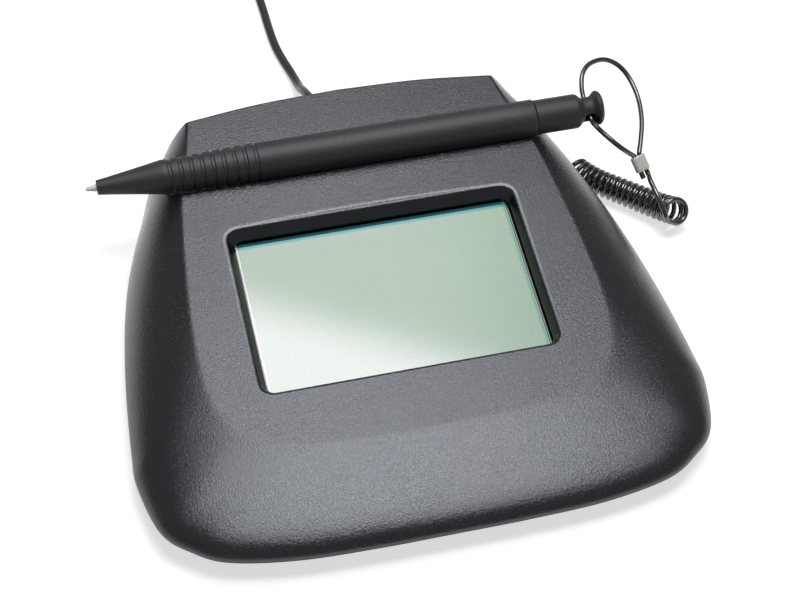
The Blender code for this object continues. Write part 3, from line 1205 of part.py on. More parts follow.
def tether_ferrule():
    outline = [rounded_rectangle(FERRULE_WIDTH, FERRULE_THICKNESS, FERRULE_THICKNESS / 2.02, 5)]
    length = ferrule_length()
    ferrule = plate("tether_ferrule", outline, length, ferrule_frame(), -length / 2.0)
    keep_part(ferrule, (0.72, 0.71, 0.66), 0.35, 0.8)
    aside = -FERRULE_CORD_SPACING / 2.0
    low = -length / 2.0 - FIT
    place = (aside, 0.0, low - TETHER_TAIL / 2.0)
    tail = cylinder("tether_tail", TETHER_RADIUS, TETHER_TAIL, place, ferrule_frame(), SMALL_HOLE_SIDES)
    keep_part(tail, CORD_BLACK, 0.35)


def ferrule_port(side, end, out):
    """Point where a cord meets the ferrule: side and end are -1 or 1, out is measured off its face."""
    place = (side * FERRULE_CORD_SPACING / 2.0, 0.0, end * (ferrule_length() / 2.0 + out))
    return ferrule_frame() @ Vector(place)


def tether_lead(coil_end, leave):
    first = Vector(coil_end) + Vector(leave) * FIT
    follow = first + Vector(leave) * 2.0 * TETHER_RADIUS
    stations = [tuple(first), tuple(follow), *LEAD_ROUTE,
                tuple(ferrule_port(1, -1, FIT + 2.0 * TETHER_RADIUS)), tuple(ferrule_port(1, -1, FIT))]
    route = laid_route(stations, 4.0 * TETHER_RADIUS)
    keep_part(tube("tether_lead", route, TETHER_RADIUS), CORD_BLACK, 0.35)


def tether_loop():
    eye = cap_eye_frame()
    reach = CAP_NECK_RADIUS + TETHER_RADIUS
    stations = [tuple(ferrule_port(-1, 1, FIT)), tuple(ferrule_port(-1, 1, FIT + 2.0 * TETHER_RADIUS)),
                *LOOP_FRONT_ROUTE, *[tuple(eye @ Vector((0.0, 0.0, out))) for out in (-reach, 0.0, reach)],
                *LOOP_BACK_ROUTE,
                tuple(ferrule_port(1, 1, FIT + 2.0 * TETHER_RADIUS)), tuple(ferrule_port(1, 1, FIT))]
    points = laid_route(stations, 4.0 * TETHER_RADIUS)
    keep_part(tube("tether_loop", points, TETHER_RADIUS), CORD_BLACK, 0.35)
    print(f"tether_loop length {length_of(points) / MM:.0f} mm")


def build():
    top_cover()
    bottom_case()
    screen_stack()
    boards()
    flexes()
    screws()
    feet()
    pen_barrel()
    pen_nib()
    pen_end_cap()
    strain_relief()
    inner_lead()
    usb_plug(usb_cable())
    cable_tie()
    tether_grommet()
    tether_stop()
    tether_lead(*tether_coil())
    tether_ferrule()
    tether_loop()


build()
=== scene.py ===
import math

import bmesh
import bpy
import numpy as np
from mathutils import Matrix, Vector


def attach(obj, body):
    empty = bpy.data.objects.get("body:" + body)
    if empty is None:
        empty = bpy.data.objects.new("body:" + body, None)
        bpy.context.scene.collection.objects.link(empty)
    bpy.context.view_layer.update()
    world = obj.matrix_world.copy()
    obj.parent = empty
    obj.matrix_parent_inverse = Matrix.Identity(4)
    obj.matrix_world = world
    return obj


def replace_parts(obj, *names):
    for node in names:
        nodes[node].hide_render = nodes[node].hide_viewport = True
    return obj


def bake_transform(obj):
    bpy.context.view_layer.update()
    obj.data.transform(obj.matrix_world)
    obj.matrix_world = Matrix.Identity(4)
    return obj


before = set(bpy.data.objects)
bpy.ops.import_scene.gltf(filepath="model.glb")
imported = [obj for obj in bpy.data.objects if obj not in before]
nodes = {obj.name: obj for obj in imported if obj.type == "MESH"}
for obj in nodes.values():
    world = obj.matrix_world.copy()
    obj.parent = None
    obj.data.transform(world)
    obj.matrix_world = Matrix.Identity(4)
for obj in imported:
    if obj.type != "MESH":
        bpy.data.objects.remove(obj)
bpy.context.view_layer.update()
mm = 0.001

# The pad is built in its own frame: the table is z = 0 and the pad's front faces -Y.
pad = dict(width=156.0, depth=143.0, wall=2.4, gap=0.3, overrun=2.0,
           deckTilt=6.0, deckHeight=21.0, deckCentreY=0.5, splitHeight=6.4, skirtTop=7.6)


# Shapes that several pieces share
def turnMatrix(place=(0.0, 0.0, 0.0), about="X", degrees=0.0):
    return Matrix.Translation([value * mm for value in place]) @ Matrix.Rotation(math.radians(degrees), 4, about)


def onPad(shares):
    return np.array(shares) * (pad["width"] / 2.0, pad["depth"] / 2.0)


def unit(vectors):
    return vectors / np.linalg.norm(vectors, axis=-1, keepdims=True)


def smoothLine(stations, steps, corners=()):  # Catmull-Rom curve through the stations, begun afresh at each corner
    line = np.array(stations, dtype=float)
    share = (np.arange(steps) / steps)[None, :, None]
    runs = []
    breaks = [0, *corners, len(line) - 1]
    for first, last in zip(breaks, breaks[1:]):
        part = line[first:last + 1]
        part = np.vstack([2.0 * part[0] - part[1], part, 2.0 * part[-1] - part[-2]])
        a, b, c, d = [part[k:len(part) - 3 + k, None] for k in range(4)]
        # half of 2b + (c - a) t + (2a - 5b + 4c - d) t^2 + (3b - a - 3c + d) t^3
        curve = 0.5 * (2.0 * b + (c - a) * share + (2.0 * a - 5.0 * b + 4.0 * c - d) * share ** 2
                       + (3.0 * b - a - 3.0 * c + d) * share ** 3)
        runs.append(curve.reshape(-1, line.shape[1]))
    return np.vstack([*runs, line[-1:]])


def travelled(line):
    return np.concatenate([[0.0], np.cumsum(np.linalg.norm(np.diff(line, axis=0), axis=1))])


def evenLine(stations, spacing, steps=24):  # the smooth curve read off at even spacing
    fine = smoothLine(stations, steps)
    run = travelled(fine)
    reads = np.linspace(0.0, run[-1], max(2, int(round(run[-1] / spacing)) + 1))
    return np.column_stack([np.interp(reads, run, fine[:, axis]) for axis in range(3)])


def ease(share):
    return share * share * (3.0 - 2.0 * share)


def bend(first, corner, last, t):  # (1-t)^2 p + 2t(1-t) c + t^2 q
    return (1.0 - t) ** 2 * first + 2.0 * t * (1.0 - t) * corner + t ** 2 * last


def softened(corners, radius, steps):  # each corner becomes a bend between points a radius before and after it
    points = np.array(corners, dtype=float)
    reach = np.array(radius, dtype=float)[:, None]
    back, ahead = (np.roll(points, way, axis=0) - points for way in (1, -1))
    backLong, aheadLong = (np.linalg.norm(run, axis=1, keepdims=True) for run in (back, ahead))
    p = points + back / backLong * np.minimum(reach, 0.49 * backLong)
    q = points + ahead / aheadLong * np.minimum(reach, 0.49 * aheadLong)
    curve = bend(p[:, None], points[:, None], q[:, None], np.linspace(0.0, 1.0, steps + 1)[None, :, None])
    return np.vstack([points[:1], curve[1:-1].reshape(-1, points.shape[1]), points[-1:]])


def roundedRectangle(width, height, radius, steps=10):  # corner arcs about the origin, anticlockwise
    quarter = np.repeat(np.arange(4), steps + 1)
    angle = 0.5 * math.pi * (quarter + np.tile(np.arange(steps + 1) / steps, 4))
    middleX = (0.5 * width - radius) * np.where((quarter == 0) | (quarter == 3), 1.0, -1.0)
    middleY = (0.5 * height - radius) * np.where(quarter < 2, 1.0, -1.0)
    return np.column_stack([middleX + radius * np.cos(angle), middleY + radius * np.sin(angle)])


def linked(name, data):
    piece = bpy.data.objects.new(name, data)
    bpy.context.scene.collection.objects.link(piece)
    return piece


def smoothed(mesh, sharp):
    mesh.shade_smooth()
    mesh.set_sharp_from_angle(angle=math.radians(sharp))


def gridPiece(name, grid, sharp=40.0, joined=False):
    # quads between the rows of a grid whose columns close on themselves, and its first and last rows closed by a
    # face each; joined closes the last row on the first instead
    rows, columns = grid.shape[:2]
    here = np.arange(rows * columns).reshape(rows, columns)
    beside = np.roll(here, -1, axis=1)
    last = rows if joined else rows - 1
    above, diagonal = (np.roll(side, -1, axis=0)[:last] for side in (here, beside))
    faces = np.stack([here[:last], beside[:last], diagonal, above], axis=-1).reshape(-1, 4).tolist()
    if not joined:
        faces += [here[0][::-1].tolist(), here[-1].tolist()]
    mesh = bpy.data.meshes.new(name)
    mesh.from_pydata((grid.reshape(-1, 3) * mm).tolist(), [], faces)
    work = bmesh.new()
    work.from_mesh(mesh)
    bmesh.ops.recalc_face_normals(work, faces=work.faces)
    work.to_mesh(mesh)
    work.free()
    smoothed(mesh, sharp)
    return linked(name, mesh)


axisRadius = 0.02  # how near to its axis a solid turned profile begins and ends, in mm


def turned(name, profile, matrix, sides=96, sharp=40.0, joined=False):
    # radius and height go round the frame's Z: (r cos a, r sin a, h)
    angle = np.linspace(0.0, math.tau, sides, endpoint=False)[None]
    radius, height = np.array(profile, dtype=float).T[:, :, None]
    grid = np.stack([radius * np.cos(angle), radius * np.sin(angle), height + 0.0 * angle], axis=-1)
    piece = gridPiece(name, grid, sharp, joined=joined)
    piece.data.transform(matrix)
    return piece


def carried(ahead, side):  # a side vector kept square to each direction in turn, so that nothing carried twists
    sides = []
    for direction in ahead:
        side = unit(side - direction * side.dot(direction))
        sides.append(side)
    return np.array(sides)


def cordTube(name, line, radius, sides=16):  # a circle carried along the line
    line = np.asarray(line, dtype=float)
    ahead = unit(np.gradient(line, axis=0))
    side = carried(ahead, np.cross(ahead[0], (0.12, 0.05, 1.0)))
    up = np.cross(ahead, side)
    angle = np.linspace(0.0, math.tau, sides, endpoint=False)[None, :, None]
    ring = np.cos(angle) * side[:, None] + np.sin(angle) * up[:, None]
    return gridPiece(name, line[:, None] + radius * ring, 60.0)


def carve(piece, *tools, operation="DIFFERENCE"):
    for tool in tools:
        step = piece.modifiers.new(tool.name, "BOOLEAN")
        step.operation, step.solver, step.object = operation, "EXACT", tool
    bpy.context.view_layer.update()
    shown = piece.evaluated_get(bpy.context.evaluated_depsgraph_get())
    mesh = bpy.data.meshes.new_from_object(shown)
    piece.modifiers.clear()
    old, piece.data = piece.data, mesh
    bpy.data.meshes.remove(old)
    smoothed(mesh, 40.0)
    for tool in tools:
        bpy.data.objects.remove(tool, do_unlink=True)
    return piece


def evenShading(piece):  # flat faces keep their own normal beside rounded ones
    weigh = piece.modifiers.new("even shading", "WEIGHTED_NORMAL")
    weigh.keep_sharp = True
    weigh.weight = 60
    return piece


# The deck's own frame: X and Y lie in the sloping deck and Z stands square to it
deckFrame = turnMatrix((0.0, pad["deckCentreY"], pad["deckHeight"]), "X", pad["deckTilt"])


print("frame loaded:", len(nodes), "pieces of the construction")


# Node trees: sockets take a plain value or another socket, whose own tree the new node joins
def feed(socket, value):
    if isinstance(value, bpy.types.NodeSocket):
        socket.id_data.links.new(value, socket)
    else:
        opaque = socket.type == "RGBA" and len(value) == 3
        socket.default_value = (*value, 1.0) if opaque else value


def node(tree, kind, inputs=None, **settings):
    made = tree.nodes.new("ShaderNode" + kind)
    for name, value in settings.items():
        setattr(made, name, value)
    for name, value in (inputs or {}).items():
        feed(made.inputs[name], value)
    return made


def treeOf(*values):
    return next(value.id_data for value in values if isinstance(value, bpy.types.NodeSocket))


def maths(operation, *values):
    return node(treeOf(*values), "Math", dict(enumerate(values)), operation=operation).outputs[0]


def vectors(operation, *values, result="Vector"):
    return node(treeOf(*values), "VectorMath", dict(enumerate(values)), operation=operation).outputs[result]


def ranged(value, low, high, start=0.0, end=1.0):  # smooth step of the value from low to high
    return node(value.id_data, "MapRange", {"Value": value, "From Min": low, "From Max": high, "To Min": start,
                                            "To Max": end}, interpolation_type="SMOOTHSTEP").outputs["Result"]


def blended(share, first, second):
    return node(share.id_data, "Mix", {0: share, 6: first, 7: second}, data_type="RGBA").outputs[2]


def noise(place, scale, detail, result="Fac"):
    return node(place.id_data, "TexNoise", {"Vector": place, "Scale": scale, "Detail": detail}).outputs[result]


def shaderOf(name, **constants):
    made = bpy.data.materials.new(name)
    made.use_nodes = True
    shader = made.node_tree.nodes["Principled BSDF"]
    for label, value in constants.items():
        feed(shader.inputs[label.replace("_", " ")], value)
    return made, made.node_tree, shader.inputs


# The photograph's camera, the soft light over the pad and the white table
view = dict(place=(-0.08929, -0.34448, 0.44696), tilt=(39.543, -1.0849, -13.5012), lens=91.638)
studio = dict(ambient=0.10, backdrop=0.30, banks=(
    ("wide bank", dict(centre=(50.0, 385.0, 830.0), size=(0.58, 0.60), turn=0.0, glow=2.9, edges=(0.34, 0.20))),
    ("front bank", dict(centre=(92.0, 15.0, 830.0), size=(0.66, 0.30), turn=0.0, glow=11.8, edges=(0.35, 0.30))),
    ("bright bank", dict(centre=(110.0, 300.0, 825.0), size=(0.54, 0.20), turn=-28.3, glow=6.2, edges=(0.22, 0.24)))))
table = dict(reach=3.0, colour=(0.60, 0.60, 0.60), roughness=0.6, lift=0.65)


def setCamera():
    data = bpy.data.cameras.new("photo camera")
    data.lens, data.sensor_width, data.clip_start = view["lens"], 36.0, 0.01
    camera = linked("photo camera", data)
    camera.location = view["place"]
    camera.rotation_euler = [math.radians(angle) for angle in view["tilt"]]
    bpy.context.scene.camera = camera
    bpy.context.scene.view_settings.view_transform = "Standard"


def setBank(name, centre, size, turn, glow, edges):  # it fades out near its rim, as a diffusion cloth does
    data = bpy.data.lights.new(name, "AREA")
    bank = linked(name, data)
    bank.location = Vector(centre) * mm
    bank.rotation_euler = (0.0, 0.0, math.radians(turn))
    data.shape = "RECTANGLE"
    data.size, data.size_y = size
    data.energy = math.pi * glow * data.size * data.size_y
    data.use_nodes = True
    place = node(data.node_tree, "NewGeometry").outputs["Parametric"]
    split = node(data.node_tree, "SeparateXYZ", {0: place}).outputs
    fades = [ranged(split[axis], low, high) for axis, edge in zip("XY", edges)
             for low, high in ((0.0, edge), (1.0, 1.0 - edge))]
    share = maths("MULTIPLY", maths("MULTIPLY", fades[0], fades[1]), maths("MULTIPLY", fades[2], fades[3]))
    feed(data.node_tree.nodes["Emission"].inputs["Strength"], share)


def seenShare(tree, hidden, seen):  # hidden for the light itself, seen for camera, mirrored and transmitted rays
    path = node(tree, "LightPath").outputs
    share = maths("MAXIMUM", maths("MAXIMUM", path["Is Camera Ray"], path["Is Glossy Ray"]),
                  path["Is Transmission Ray"])
    return node(tree, "MapRange", {"Value": share, "To Min": hidden, "To Max": seen}).outputs["Result"]


def setWorld():
    world = bpy.data.worlds.new("studio room")
    bpy.context.scene.world = world
    world.use_nodes = True
    background = world.node_tree.nodes["Background"].inputs
    feed(background["Color"], (1.0, 1.0, 1.0))
    feed(background["Strength"], seenShare(world.node_tree, studio["ambient"], studio["backdrop"]))


def setTable():
    across = np.linspace(-table["reach"], table["reach"], 3)
    grid = np.stack([*np.meshgrid(across, across, indexing="ij"), np.zeros((3, 3))], axis=-1).reshape(-1, 3)
    top = bpy.data.meshes.new("table_top")
    top.from_pydata(grid.tolist(), [], [(4, 1, 0, 3), (5, 2, 1, 4), (7, 4, 3, 6), (8, 5, 4, 7)])
    linked("table_top", top)
    made, tree, sockets = shaderOf("white table", Base_Color=table["colour"], Roughness=table["roughness"],
                                   Specular_IOR_Level=0.2, Emission_Color=(1.0, 1.0, 1.0))
    feed(sockets["Emission Strength"], seenShare(tree, 0.0, table["lift"]))
    top.materials.append(made)


setCamera()
for bankName, bankValues in studio["banks"]:
    setBank(bankName, **bankValues)
setWorld()
setTable()
print("camera, lights and table set")


# Half outlines of the pad from the middle of its back to the middle of its front, in shares of half its size
skirtShares = ((0.0, 1.0), (0.3, 0.99), (0.63, 0.966), (0.704, 0.946),
               (0.757, 0.843), (0.8, 0.705), (0.848, 0.56), (0.9, 0.37), (0.941, 0.147),
               (0.975, -0.133), (0.996, -0.42), (0.997, -0.56), (0.952, -0.765), (0.868, -0.866),
               (0.752, -0.94), (0.525, -0.986), (0.256, -0.999), (0.0, -1.0))
deckShares = ((0.0, 0.996), (0.295, 0.984), (0.535, 0.954), (0.578, 0.946),
              (0.603, 0.815), (0.631, 0.7), (0.66, 0.56), (0.688, 0.336), (0.708, 0.112),
              (0.719, -0.112), (0.712, -0.31), (0.685, -0.43), (0.628, -0.522), (0.545, -0.578),
              (0.43, -0.608), (0.31, -0.622), (0.155, -0.63), (0.0, -0.632))
# shoulder of the flare: how far across and up it lies, and how strongly it pulls
shoulders = ((0.5, 0.5, 1.0), (0.5, 0.5, 1.0), (0.48, 0.52, 1.0), (0.3, 0.62, 1.0),
             (0.26, 0.7, 1.0), (0.26, 0.72, 1.0), (0.27, 0.73, 1.0), (0.27, 0.73, 1.0), (0.27, 0.73, 1.0),
             (0.25, 0.74, 1.0), (0.19, 0.72, 1.1), (0.12, 0.66, 1.3), (0.07, 0.58, 1.6), (0.06, 0.5, 1.8),
             (0.05, 0.42, 2.0), (0.05, 0.36, 2.1), (0.05, 0.34, 2.2), (0.05, 0.33, 2.2))
backCorner = 3  # the station where the back edge turns sharply into the side


def mirrored(half):  # closes a half outline by its mirror image about x = 0; x values are in the even columns
    other = half[1:-1][::-1].copy()
    other[:, 0] *= -1.0
    if other.shape[1] > 3:
        other[:, 2] *= -1.0
    return np.vstack([half, other])


def drawnIn(half, distance):  # every point moved in along its corner's bisector by distance / cos(half the turn)
    loop = mirrored(half)
    ahead = unit(np.roll(loop, -1, axis=0) - loop)
    bisector = ahead + np.roll(ahead, 1, axis=0)
    halfTurn = np.linalg.norm(bisector, axis=1, keepdims=True) / 2.0
    inward = unit(bisector)[:, ::-1] * (1.0, -1.0)
    return (loop + inward * distance / halfTurn)[:len(half)]


def outline(skirtInset=0.0, deckInset=0.0, steps=10):  # rows of skirt x, y, deck x, y and shoulder
    skirt, deck = drawnIn(onPad(skirtShares), skirtInset), drawnIn(onPad(deckShares), deckInset)
    return mirrored(smoothLine(np.column_stack([skirt, deck, np.array(shoulders)]), steps, (backCorner,)))


def wallFrame(x, height):  # on the outside of the back wall, with Z pointing straight out of it
    loop = outline()
    back = loop[(loop[:, 1] > 0.0) & (abs(loop[:, 0]) <= pad["width"] / 4.0)]
    back = back[np.argsort(back[:, 0])]
    here, beside = np.interp((x, x + pad["wall"]), back[:, 0], back[:, 1])
    return (turnMatrix((x, here, height), "Z", math.degrees(math.atan2(beside - here, pad["wall"])))
            @ Matrix.Rotation(-math.pi / 2.0, 4, "X"))


def inFrame(matrix, *place):  # a point of a frame, in the pad's millimetres
    return np.array(matrix @ (Vector(place) * mm)) / mm


# Data lead: out of the back wall, down to the table and into the coil that puts its length away
lead = dict(radius=1.35, exitX=-5.5, exitHeight=12.8, length=1.745, spacing=1.1,
            route=((-6.3, 91.6, 9.4), (-6.2, 97.4, 5.0), (-6.5, 103.6, 2.6), (-7.2, 109.0, 1.6), (-8.4, 114.6, 1.5),
                   (-9.4, 121.0, 1.5), (-9.8, 129.0, 1.5), (-9.9, 138.2, 1.5), (-10.2, 149.0, 1.5),
                   (-10.7, 160.0, 1.9)))
coil = dict(centre=(-33.4, 178.0), meanRadius=16.0, step=3.2, layers=4, turns=4, base=2.6, stepsPerTurn=60)
relief = dict(flangeRadius=4.2, flange=1.5, neckRadius=3.0, collarRadius=3.9, collar=1.6, length=9.0,
              tailRadius=2.0, ribs=3, ribDepth=0.62,
              collarRound=(0.3, 0.35))
plug = dict(bodyHeight=7.6)
tie = dict(width=8.0, thickness=0.8, rounding=0.2, angle=215.0)
leadFrame = wallFrame(lead["exitX"], lead["exitHeight"])
coilOuter = coil["meanRadius"] + coil["step"] * coil["turns"] / 2.0
coilInner = coil["meanRadius"] - coil["step"] * coil["turns"] / 2.0
plugHeight = plug["bodyHeight"] / 2.0 + pad["gap"]


def coilLine():
    # angle a grows evenly; the radius goes in and out between the coil's walls by layers, and the height rises by
    # one step where the layer changes, over half a turn
    turns = np.arange(coil["layers"] * coil["turns"] * coil["stepsPerTurn"]) / coil["stepsPerTurn"]
    layer = turns / coil["turns"]
    share = 1.0 - abs(layer % 2.0 - 1.0)
    radius = coilOuter - (coilOuter - coilInner) * share
    reversal = np.round(layer)
    rise = np.clip((turns - reversal * coil["turns"]) / 0.5 + 0.5, 0.0, 1.0)
    inside = (reversal > 0) & (reversal < coil["layers"])
    height = coil["base"] + coil["step"] * np.where(inside, reversal - 1.0 + ease(rise), np.floor(layer))
    angle = math.tau * turns
    return np.column_stack([coil["centre"][0] + radius * np.cos(angle),
                            coil["centre"][1] + radius * np.sin(angle), height])


def coilTail():  # out of the last turn, down beside the coil and level into the plug
    top = coil["base"] + coil["step"] * (coil["layers"] - 1)
    share = np.linspace(0.0, 1.0, 16)
    drop = np.clip(2.0 * share - 1.0, 0.0, 1.0)
    radius = coilOuter + (coil["step"] + 0.9) * np.minimum(1.0, 2.0 * ease(share))
    angle = math.pi / 2.0 * share
    turn = np.column_stack([coil["centre"][0] + radius * np.cos(angle), coil["centre"][1] + radius * np.sin(angle),
                            top + (plugHeight + coil["step"] - top) * ease(drop)])
    last = turn[-1]
    ends = [(last[0] - 2.0 * coil["step"], last[1], plugHeight + coil["step"] * 0.2),
            (last[0] - 3.0 * coil["step"], last[1], plugHeight),
            (last[0] - 3.0 * coil["step"] - 2.0 * lead["radius"], last[1], plugHeight)]
    return np.vstack([turn, ends])


def leadLine():
    out = relief["collar"] + relief["length"]
    start = coilLine()[0]
    stations = [inFrame(leadFrame, 0.0, 0.0, out + 0.6), inFrame(leadFrame, 0.0, 0.0, out + 3.3), *lead["route"],
                start - (0.0, 5.4, 0.0), start - (0.0, 2.7, 0.0)]
    run = smoothLine(stations, 6)
    return evenLine(np.vstack([run, coilLine(), coilTail()]), lead["spacing"], 4)


# Pen's cord: out of its grommet, in curls round the pad's back corner, and up into the crimp
tether = dict(radius=0.75, exitX=34.0, exitHeight=12.8, length=0.474, drawn=67, startRadius=3.05, endRadius=3.5,
              pitch=1.9, stepsPerTurn=28, endAngle=-40.0, startAngle=-30.0, growTurns=2.5, settle=20.0, straight=7,
              route=((35.4, 78.8, 9.4), (38.0, 78.6, 4.6), (42.6, 76.2, 1.6), (49.6, 73.4, 1.0), (56.4, 71.0, 1.0),
                     (60.6, 65.0, 1.1), (63.4, 58.0, 1.9), (66.1, 50.4, 3.7), (68.7, 45.2, 4.1), (72.2, 40.5, 4.3),
                     (77.5, 35.5, 4.4), (83.0, 30.4, 4.5), (86.8, 26.6, 4.9), (89.2, 23.6, 6.0), (90.2, 21.2, 7.6)),
              rise=((85.7, 19.9, 9.4), (84.7, 24.3, 12.0), (84.0, 29.2, 13.4)))
grommet = dict(flangeRadius=2.6, flange=1.2, neckRadius=1.7, tail=2.4)
crimp = dict(width=4.6, thickness=2.7, spacing=1.9, mouthRound=0.3, turn=14.3, tail=1.8,
             top=(81.6, 36.4, 17.4), bottom=(82.9, 33.3, 14.2))
loop = dict(length=0.0815,
            front=((77.9, 36.6, 20.1), (74.9, 38.3, 22.4), (71.2, 42.7, 24.6)),
            back=((69.4, 55.6, 29.4), (70.9, 59.9, 30.6), (74.0, 63.0, 31.0), (78.7, 64.3, 30.5), (82.8, 63.0, 28.7),
                  (85.4, 59.4, 26.4), (86.5, 53.3, 23.9), (85.8, 46.6, 21.5), (84.0, 41.0, 19.4)))
pen = dict(lineY=48.0, rise=1.9, radius=5.4, tipX=-73.7, noseRadius=2.1, noseLength=18.4, gripRadius=4.9, grooves=9,
           pitch=3.06, noseSwell=1.08, grooveWidth=1.2, grooveDepth=0.4, gripStart=2.1, wall=1.3, jointX=52.7)
cap = dict(radius=5.0, barrel=13.0, chamfer=1.4, neckRadius=3.5, neck=4.0, discRadius=5.0, disc=2.0, spigot=7.0,
           eyeRadius=1.35, eyeMouth=0.9, waist=0.2)
nib = dict(radius=1.0, tipRadius=0.62, out=3.2, inside=6.0)
penFrame = deckFrame @ turnMatrix((pen["tipX"], pen["lineY"], pen["rise"]), "Y", 90.0)
penJoint = pen["jointX"] - pen["tipX"]
eyeFrame = deckFrame @ turnMatrix((pen["tipX"] + penJoint + cap["barrel"] + cap["chamfer"] + cap["neck"] / 2.0,
                                   pen["lineY"], pen["rise"]), "X", -90.0)
tetherFrame = wallFrame(tether["exitX"], tether["exitHeight"])


def crimpFrame():  # at the crimp's middle: Z up its length, X across the two cords
    top, bottom = Vector(crimp["top"]), Vector(crimp["bottom"])
    up = (top - bottom).normalized()
    turn = math.radians(crimp["turn"])
    across = Vector((math.cos(turn), math.sin(turn), 0.0))
    across = (across - up * across.dot(up)).normalized()
    stance = Matrix((across, up.cross(across), up)).transposed().to_4x4()
    return Matrix.Translation((top + bottom) * mm / 2.0) @ stance


crimpLength = (Vector(crimp["top"]) - Vector(crimp["bottom"])).length


def crimpPort(side, end, out):  # where a cord meets the crimp: side and end are -1 or 1, out is off its face
    return inFrame(crimpFrame(), side * crimp["spacing"] / 2.0, 0.0, end * (crimpLength / 2.0 + out))


def tetherLine():
    # a point goes round the smooth axis at radius r: axis + r (cos(t) side + sin(t) up); the straight part runs in
    # along the side of the curls, and dt per step grows from nothing as the cube of the way into them
    begin = [inFrame(tetherFrame, 0.0, 0.0, grommet["tail"] + out) for out in (0.3, 1.8)]
    stations = np.array([*begin, *tether["route"]])
    axis = evenLine(stations, tether["pitch"] / tether["stepsPerTurn"])
    count = len(axis)
    ahead = unit(np.gradient(axis, axis=0))
    side = unit(np.cross(ahead[-1], (0.0, 0.0, 1.0)))
    sides = carried(ahead[::-1], side)[::-1]
    ups = np.cross(sides, ahead)
    first = np.linalg.norm(axis - stations[tether["straight"] + 2], axis=1).argmin()
    step, perTurn = np.arange(count), tether["stepsPerTurn"]
    rate = np.clip((step - first) / (tether["growTurns"] * perTurn), 0.0, 1.0) ** 3
    left = math.tau / perTurn * (rate.sum() - np.cumsum(rate))
    start, end = math.radians(tether["startAngle"]), math.radians(tether["endAngle"])
    rounds = round((left[0] - end + start) / (math.tau))
    turn = end - left * (end - start + math.tau * rounds) / left[0]
    radius = np.interp(step, (first, count), (tether["startRadius"], tether["endRadius"]))
    radius *= ease(np.clip(1.0 + (step - first) * tether["pitch"] / (perTurn * tether["settle"]), 0.0, 1.0))
    curls = axis + radius[:, None] * (np.cos(turn)[:, None] * sides + np.sin(turn)[:, None] * ups)
    leave = unit(curls[-1] - curls[-2])
    rise = evenLine([curls[-1], curls[-1] + leave * 2.4, *tether["rise"],
                     crimpPort(1, -1, 1.8), crimpPort(1, -1, -0.6)], 0.4)
    return np.vstack([curls[:first:6], curls[first:], rise[1:]])


def loopLine():
    reach = cap["neckRadius"] + tether["radius"]
    through = [inFrame(eyeFrame, 0.0, 0.0, out) for out in (-reach, 0.0, reach)]
    return evenLine([crimpPort(-1, 1, -0.6), crimpPort(-1, 1, 0.4), *loop["front"], *through, *loop["back"],
                     crimpPort(1, 1, 0.4), crimpPort(1, 1, -0.6)], 0.45)


leadPath, tetherPath, loopPath = leadLine(), tetherLine(), loopLine()
for name, path in (("data lead", leadPath), ("pen cord", tetherPath), ("loop", loopPath)):
    print(name, "is", round(travelled(path)[-1] / 1000.0, 4), "m long")


# Housing: one loft from the skirt to the deck, hollow, with the window's rolled rim and the pen's groove
shell = dict(columns=10, rings=30, creaseRound=0.7, skirtRound=0.35,
             window=(78.6, 50.8), windowRadius=2.6, windowDepth=3.2, rim=2.2, roll=2.4, lip=1.2, lipTurn=50.0,
             rollRings=10, rollReach=((0.5, 0.0, 0.0, 0.0), (3.0, 2.1, 2.9, 1.7)), rollBow=1.0,
             grooveRadius=5.7, grooveWall=2.0, grooveRound=0.7,
             bossRadius=3.2, bossBottom=7.0, screwSeat=4.6, screwLength=7.5, screwRadius=1.3,
             screws=((-0.80, -0.40), (0.80, -0.40), (-0.65, 0.60), (0.65, 0.60)))


def stood(name, section, low, high, matrix):  # a closed section carried straight up its frame's Z
    piece = gridPiece(name, np.stack([atHeight(np.array(section), height) for height in (low, high)]))
    piece.data.transform(matrix)
    return piece


def posts(label, places, radius, low, high, sides=40):
    return [turned(f"{label} {k}", ((radius, low), (radius, high)), turnMatrix((x, y, 0.0)), sides)
            for k, (x, y) in enumerate(places)]


def flare(skirt, deck, shoulder, share):
    # quadratic arc pulled to its shoulder k by the weight w: (2 w s (1-s) k + s^2) / ((1-s)^2 + 2 w s (1-s) + s^2)
    pull = 2.0 * shoulder[:, 2:] * share * (1.0 - share)
    along = (pull * shoulder[:, :2] + share ** 2) / ((1.0 - share) ** 2 + pull + share ** 2)
    return skirt + (deck - skirt) * along[:, (0, 0, 1)]


def atHeight(flat, height):
    return np.column_stack([flat, np.full(len(flat), height)])


def deckPoints(flat, up=0.0):
    turn = np.array(deckFrame)
    return (atHeight(flat, up) * mm @ turn[:3, :3].T + turn[:3, 3]) / mm


def shellSolid():
    loop = outline(0.0, 0.0, shell["columns"])
    inner = outline(0.0, shell["creaseRound"], shell["columns"])
    base, edge, shoulder = atHeight(loop[:, :2], pad["skirtTop"]), deckPoints(loop[:, 2:4]), loop[:, 4:]
    low = drawnRing(loop[:, :2], shell["skirtRound"])
    rings = [atHeight(low, pad["splitHeight"]), atHeight(loop[:, :2], pad["splitHeight"] + shell["skirtRound"]), base]
    last = 1.0 - 0.9 / shell["rings"]
    rings += [flare(base, edge, shoulder, share) for share in np.linspace(0.0, last, shell["rings"])[1:]]
    before, after = rings[-1], deckPoints(inner[:, 2:4])
    rings += [bend(before, edge, after, t) for t in np.linspace(0.0, 1.0, 6)[1:]]  # rounds the crease
    return gridPiece("housing", np.stack(rings))


def drawnRing(flat, distance):  # a closed clockwise ring moved in along its own normals
    along = unit(np.roll(flat, -1, axis=0) - np.roll(flat, 1, axis=0))
    return flat + np.column_stack([along[:, 1], -along[:, 0]]) * distance


